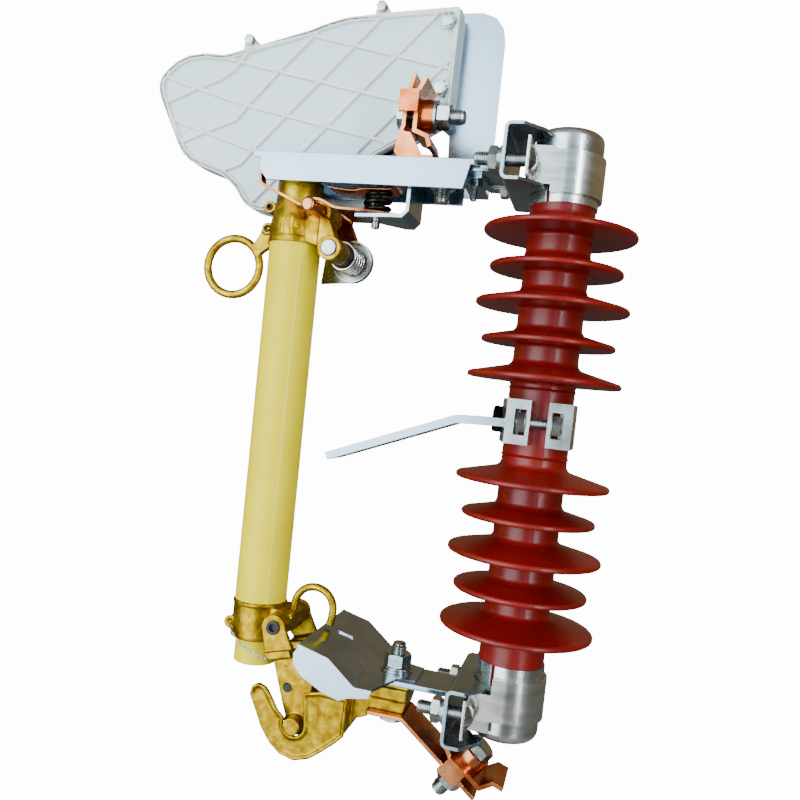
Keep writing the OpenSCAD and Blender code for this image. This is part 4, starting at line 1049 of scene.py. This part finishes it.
# ------------------------------------------------------------------ fuse holder
# The tube leans by 0.9 degrees, about the height of the link's pin
LEAN = (
    Matrix.Translation((TUBE_X, 0, TOGGLE_PIN[1])) @ Matrix.Rotation(math.radians(-0.9), 4, "Y")
    @ Matrix.Translation((0, 0, -TOGGLE_PIN[1]))
)
fit(
    "lacquered_tube", "holder", LACQUER,
    moved(lathe([(12, -204, 0.6), (16.5, -204, 1), (16.5, -156), (20, -156, 0.8), (20, 138),
                 (12, 138)], steps=96, closed=True), LEAN),
    "fuse_tube",
)


def upper_casting():
    """Sleeve with a lip, bush for the pin, arm with the blade's pivot, and pull ring."""
    ring = [(x, 0, z) for x, z in arc(-252.8, 101.2, 22.4, 0, 354, 59)]
    shells = [
        moved(lathe([(0, 165), (10, 165), (10, 138), (20, 138), (20, 121), (21.2, 121),
                     (21.2, 125), (20.6, 126.4), (20.5, 138), (19.2, 143), (18.1, 149),
                     (17.7, 170), (16.8, 171), (0, 171)], steps=96), LEAN),
        band(5.6, 9.1, 0, 28, on_axis(CONTACT_PIN, -14), AWAY),
        lathe([(5.7, 0), (9.1, 0), (9.4, 0.6), (9.4, 22), (5.7, 22)],
              on_axis(BLADE_PIVOT, -26), AWAY, closed=True),
        slab([(-192, 122), (-180, 122), (-173, 138), (-172, 147), (-177, 154), (-192, 154)],
             0, 12),
        slab([(-178, 121.5), (-171, 110), (-163, 126), (-170, 140), (-178, 143)], -18, -9),
        slab([(-188, 122), (-176, 119), (-173, 140), (-188, 143)], -16, 0),
        wire(ring, 3.35, closed=True),
        slab([(-238, 117), (-232.5, 110.5), (-216, 124), (-214, 135), (-222, 137),
              (-229, 134.5)], -3, 3),
    ]
    for z in RING_PINS_Z:
        shells += [
            band(2.5, 4.8, 0, 10, (RING_PINS_X, -5, z), AWAY, 48),
            slab([(-222, z - 3), (-214, z - 3.4), (-214, z + 3.4), (-222, z + 3)], -3.6, 3.6),
        ]
    return cast(join(*shells), cell=0.6, passes=4)


fit("upper_casting", "holder", BRONZE, upper_casting(), "upper_ferrule", smooth=60)


def roll_pin(z, opening):
    """Sheet steel rolled to a tube that does not quite close, opening at an angle in degrees."""
    shape = bmesh.new()
    inside, outside, length = 1.5, 2.45, 10.6
    corners = [
        shape.verts.new((r, 0, h))
        for r, h in ((inside, 0), (outside, 0), (outside, length), (inside, length))
    ]
    face = shape.faces.new(corners)
    bmesh.ops.spin(
        shape, geom=[face] + face.edges[:] + corners, cent=(0, 0, 0), axis=UP,
        angle=math.radians(318), steps=26,
    )
    bmesh.ops.recalc_face_normals(shape, faces=shape.faces)
    turn = Matrix.Rotation(math.radians(opening), 4, "Z")
    return moved(shape, turned((RING_PINS_X, -5.6, z), AWAY) @ turn)


fit(
    "roll_pins", "holder", BLACK_STEEL,
    join(roll_pin(RING_PINS_Z[1], 40), roll_pin(RING_PINS_Z[0], 200)), "ring_pins",
)
fit(
    "contact_pin_bar", "holder", COPPER,
    lathe([(0, 0), (3.6, 0.15), (4.8, 0.7), (5.4, 1.7), (5.5, 3), (5.5, 64), (0, 64)],
          on_axis(CONTACT_PIN, -40), AWAY, 56),
    "contact_pin",
)


def lower_casting():
    """Sleeve with raised lips, the hub for the link's pin, and the lug for the wire."""
    shells = [cad_copy("lower_ferrule")]
    for inside, low, high in ((18, -158.4, -156), (17, -184.5, -181.2)):
        shells.append(moved(band(inside, 21, low, high, steps=96), LEAN))
    shells.append(band(2.2, 5, 0, 1.6, on_axis(WIRE_LUG, -14), AWAY))
    for y in (-3, 5, 13):
        shells.append(band(8, 9.7, 0, 1.6, on_axis(TOGGLE_PIN, y), AWAY))
    return cast(join(*shells), cell=0.6, passes=4)


fit("lower_casting", "holder", BRONZE, lower_casting(), "lower_ferrule", smooth=60)
fit(
    "lifting_hook", "holder", BRONZE,
    wire([(-170.5, 0, -165), (-169.6, 0, -160)]
         + [(x, 0, z) for x, z in arc(-153.5, -155.5, 15.6, 176, 0, 26)]
         + [(-138.2, 0, -160), (-138.6, 0, -163), (-139.4, 0, -166)], 3.05),
    "lift_loop",
)


def twisted_wire():
    """The fuse link's tail: two strands laid together, along a smooth curve through the
    corners of its route."""
    corners = [Vector(c) for c in (
        (-215.5, -14.2, -175.5), (-210, -20, -179), (-203, -21.8, -185), (-194, -22.4, -190),
        (-184, -22.8, -193), (-177, -23, -194),
    )]
    steps, lay, strand_r, apart = 8, 0.75, 0.5, 0.42
    route = []
    for i in range(len(corners) - 1):
        a, b = corners[max(i - 1, 0)], corners[i]
        c, d = corners[i + 1], corners[min(i + 2, len(corners) - 1)]
        for k in range(steps):
            t = k / steps
            route.append(0.5 * (2 * b + (c - a) * t + (2 * a - 5 * b + 4 * c - d) * t * t
                                + (3 * b - a - 3 * c + d) * t ** 3))
    route.append(corners[-1])
    strands = []
    for start in (0, math.pi):
        strands.append(wire([
            tuple(p + Vector((0, math.cos(start + lay * i), math.sin(start + lay * i))) * apart)
            for i, p in enumerate(route)
        ], strand_r))
    return join(*strands)


fit("link_tail", "holder", BOLT_STEEL, twisted_wire(), "link_wire")
fit(
    "return_spring", "holder", BAND_STEEL,
    moved(wire(helix(10.3, 4, 31, 4.7, 40), 1.5), turned(on_axis(BLADE_PIVOT, 0), AWAY)),
    "torsion_spring",
)
# A flanged sleeve inside the spring, and a black ring round the near end of the pivot pin that is
# painted shade for the gap there
fit(
    "spring_bush", "holder", BLACK_RUBBER_AND_HOLE_SHADE,
    join(
        lathe([(5.8, -4.2), (9, -4.2, 0.5), (9, 2, 0.5), (8.2, 3), (8.2, 30), (5.8, 30)],
              on_axis(BLADE_PIVOT, 0), AWAY, closed=True),
        # Painted shade: a thin black ring stands for the dark gap round the pivot pin's end
        band(5.2, 6.2, -26.5, -25, on_axis(BLADE_PIVOT, 0), AWAY),
    ),
    slot="dark_steel",
)

# ------------------------------------------------------------------ arc blade
fit_solid("lever_cup", "blade", BOLT_STEEL, "blade_lever", 0.4)
fit_solid("copper_blade", "blade", COPPER, "arc_blade", 0.5)


# ------------------------------------------------------------------ studio
# Light strong enough to come out as plain white
SEEN_WHITE = {"Color": srgb("#ffffff"), "Strength": 14.0}


def seen_as(tree, shown, true):
    """One shader for what the camera sees and another for all other light."""
    mix = add_node(
        tree, "ShaderNodeMixShader",
        first=add_node(tree, "ShaderNodeLightPath").outputs["Is Camera Ray"],
    )
    tree.links.new(true.outputs[0], mix.inputs[1])
    tree.links.new(shown.outputs[0], mix.inputs[2])
    return mix.outputs[0]


def floor():
    """A pale floor, far enough down for the opened holder to hang above it. It shines for
    the camera alone, so that it meets the backdrop unseen."""
    drop = 550 * MM
    sheet = bmesh.new()
    bmesh.ops.create_grid(sheet, x_segments=1, y_segments=1, size=30)
    bmesh.ops.translate(sheet, verts=sheet.verts, vec=(0, 0, cad_box[0].z - drop))
    mesh = as_mesh(sheet, "floor")
    paper = bpy.data.materials.new("white_paper")
    paper.use_nodes = True
    tree = paper.node_tree
    tree.nodes.clear()
    matt = add_node(
        tree, "ShaderNodeBsdfPrincipled", {"Base Color": srgb("#8c8880"), "Roughness": 0.9}
    )
    lit = add_node(tree, "ShaderNodeEmission", SEEN_WHITE)
    add_node(tree, "ShaderNodeOutputMaterial", Surface=seen_as(tree, lit, matt))
    mesh.materials.append(paper)
    made = add_object("floor", mesh)


def backdrop():
    """White where it is seen. What the metal mirrors is a room that is bright and cool towards
    the window, and dim and warm away from it."""
    world = bpy.data.worlds.new("studio")
    world.use_nodes = True
    tree = world.node_tree
    tree.nodes.clear()
    way = add_node(tree, "ShaderNodeTexCoord").outputs["Generated"]
    towards_window = add_node(
        tree, "ShaderNodeVectorMath", {"operation": "DOT_PRODUCT"}, first=way
    )
    towards_window.inputs[1].default_value = (-0.35, -0.93, -0.1)
    room = add_node(
        tree, "ShaderNodeMapRange", {"From Min": -1.0, "From Max": 1.0},
        Value=towards_window.outputs["Value"],
    )
    shade = add_node(
        tree, "ShaderNodeValToRGB",
        {"stops": [(0.1, "#8f7c5e"), (0.42, "#7c6d58"), (0.62, "#a3a9ad"), (0.9, "#c3dcf6")]},
        Fac=room.outputs["Result"],
    )
    dim = add_node(tree, "ShaderNodeBackground", {"Strength": 0.9}, Color=shade.outputs["Color"])
    bright = add_node(tree, "ShaderNodeBackground", SEEN_WHITE)
    add_node(tree, "ShaderNodeOutputWorld", Surface=seen_as(tree, bright, dim))
    bpy.context.scene.world = world


def lamp(name, offset, width, height, power):
    """A soft box that looks at the part's middle from an offset in metres. Metal mirrors
    only those that stand well in front of the part."""
    light = bpy.data.lights.new(name, "AREA")
    light.shape, light.size, light.size_y, light.energy = "RECTANGLE", width, height, power
    light.color = (0.84, 0.94, 1.0)
    made = add_object(name, light)
    made.matrix_world = turned((cad_box[0] + cad_box[1]) / 2 + Vector(offset), offset)
    made.visible_glossy = offset[1] < -0.5


def camera():
    """A near view from the right at the height of the part's middle, rolled a little to the
    left. Its place is in the frame's millimetres."""
    lens = bpy.data.cameras.new("camera")
    lens.lens, lens.sensor_width = 35.64, 36
    lens.clip_start, lens.clip_end = 0.01, 200
    ahead = Vector((-0.2420, 0.9702, -0.0079)).normalized()
    upward = Vector((-0.1121, -0.0199, 0.9935))
    right = ahead.cross(upward).normalized()
    upward = right.cross(ahead)
    made = add_object("camera", lens)
    place = Vector((155.52, -579.32, 40.63)) * MM
    turn = Matrix((right, upward, -ahead)).transposed().to_4x4()
    made.matrix_world = Matrix.Translation(place) @ turn
    bpy.context.scene.camera = made


floor()
backdrop()
lamp("window", (-0.62, -1.25, 0.05), 1.2, 2.0, 46)
lamp("strip", (0.95, -0.95, 0.1), 0.06, 1.3, 14)
lamp("overhead", (0.3, -0.4, 1.5), 0.8, 0.8, 8)
lamp("rim", (0.7, 1.1, 0.6), 0.8, 0.9, 10)
camera()
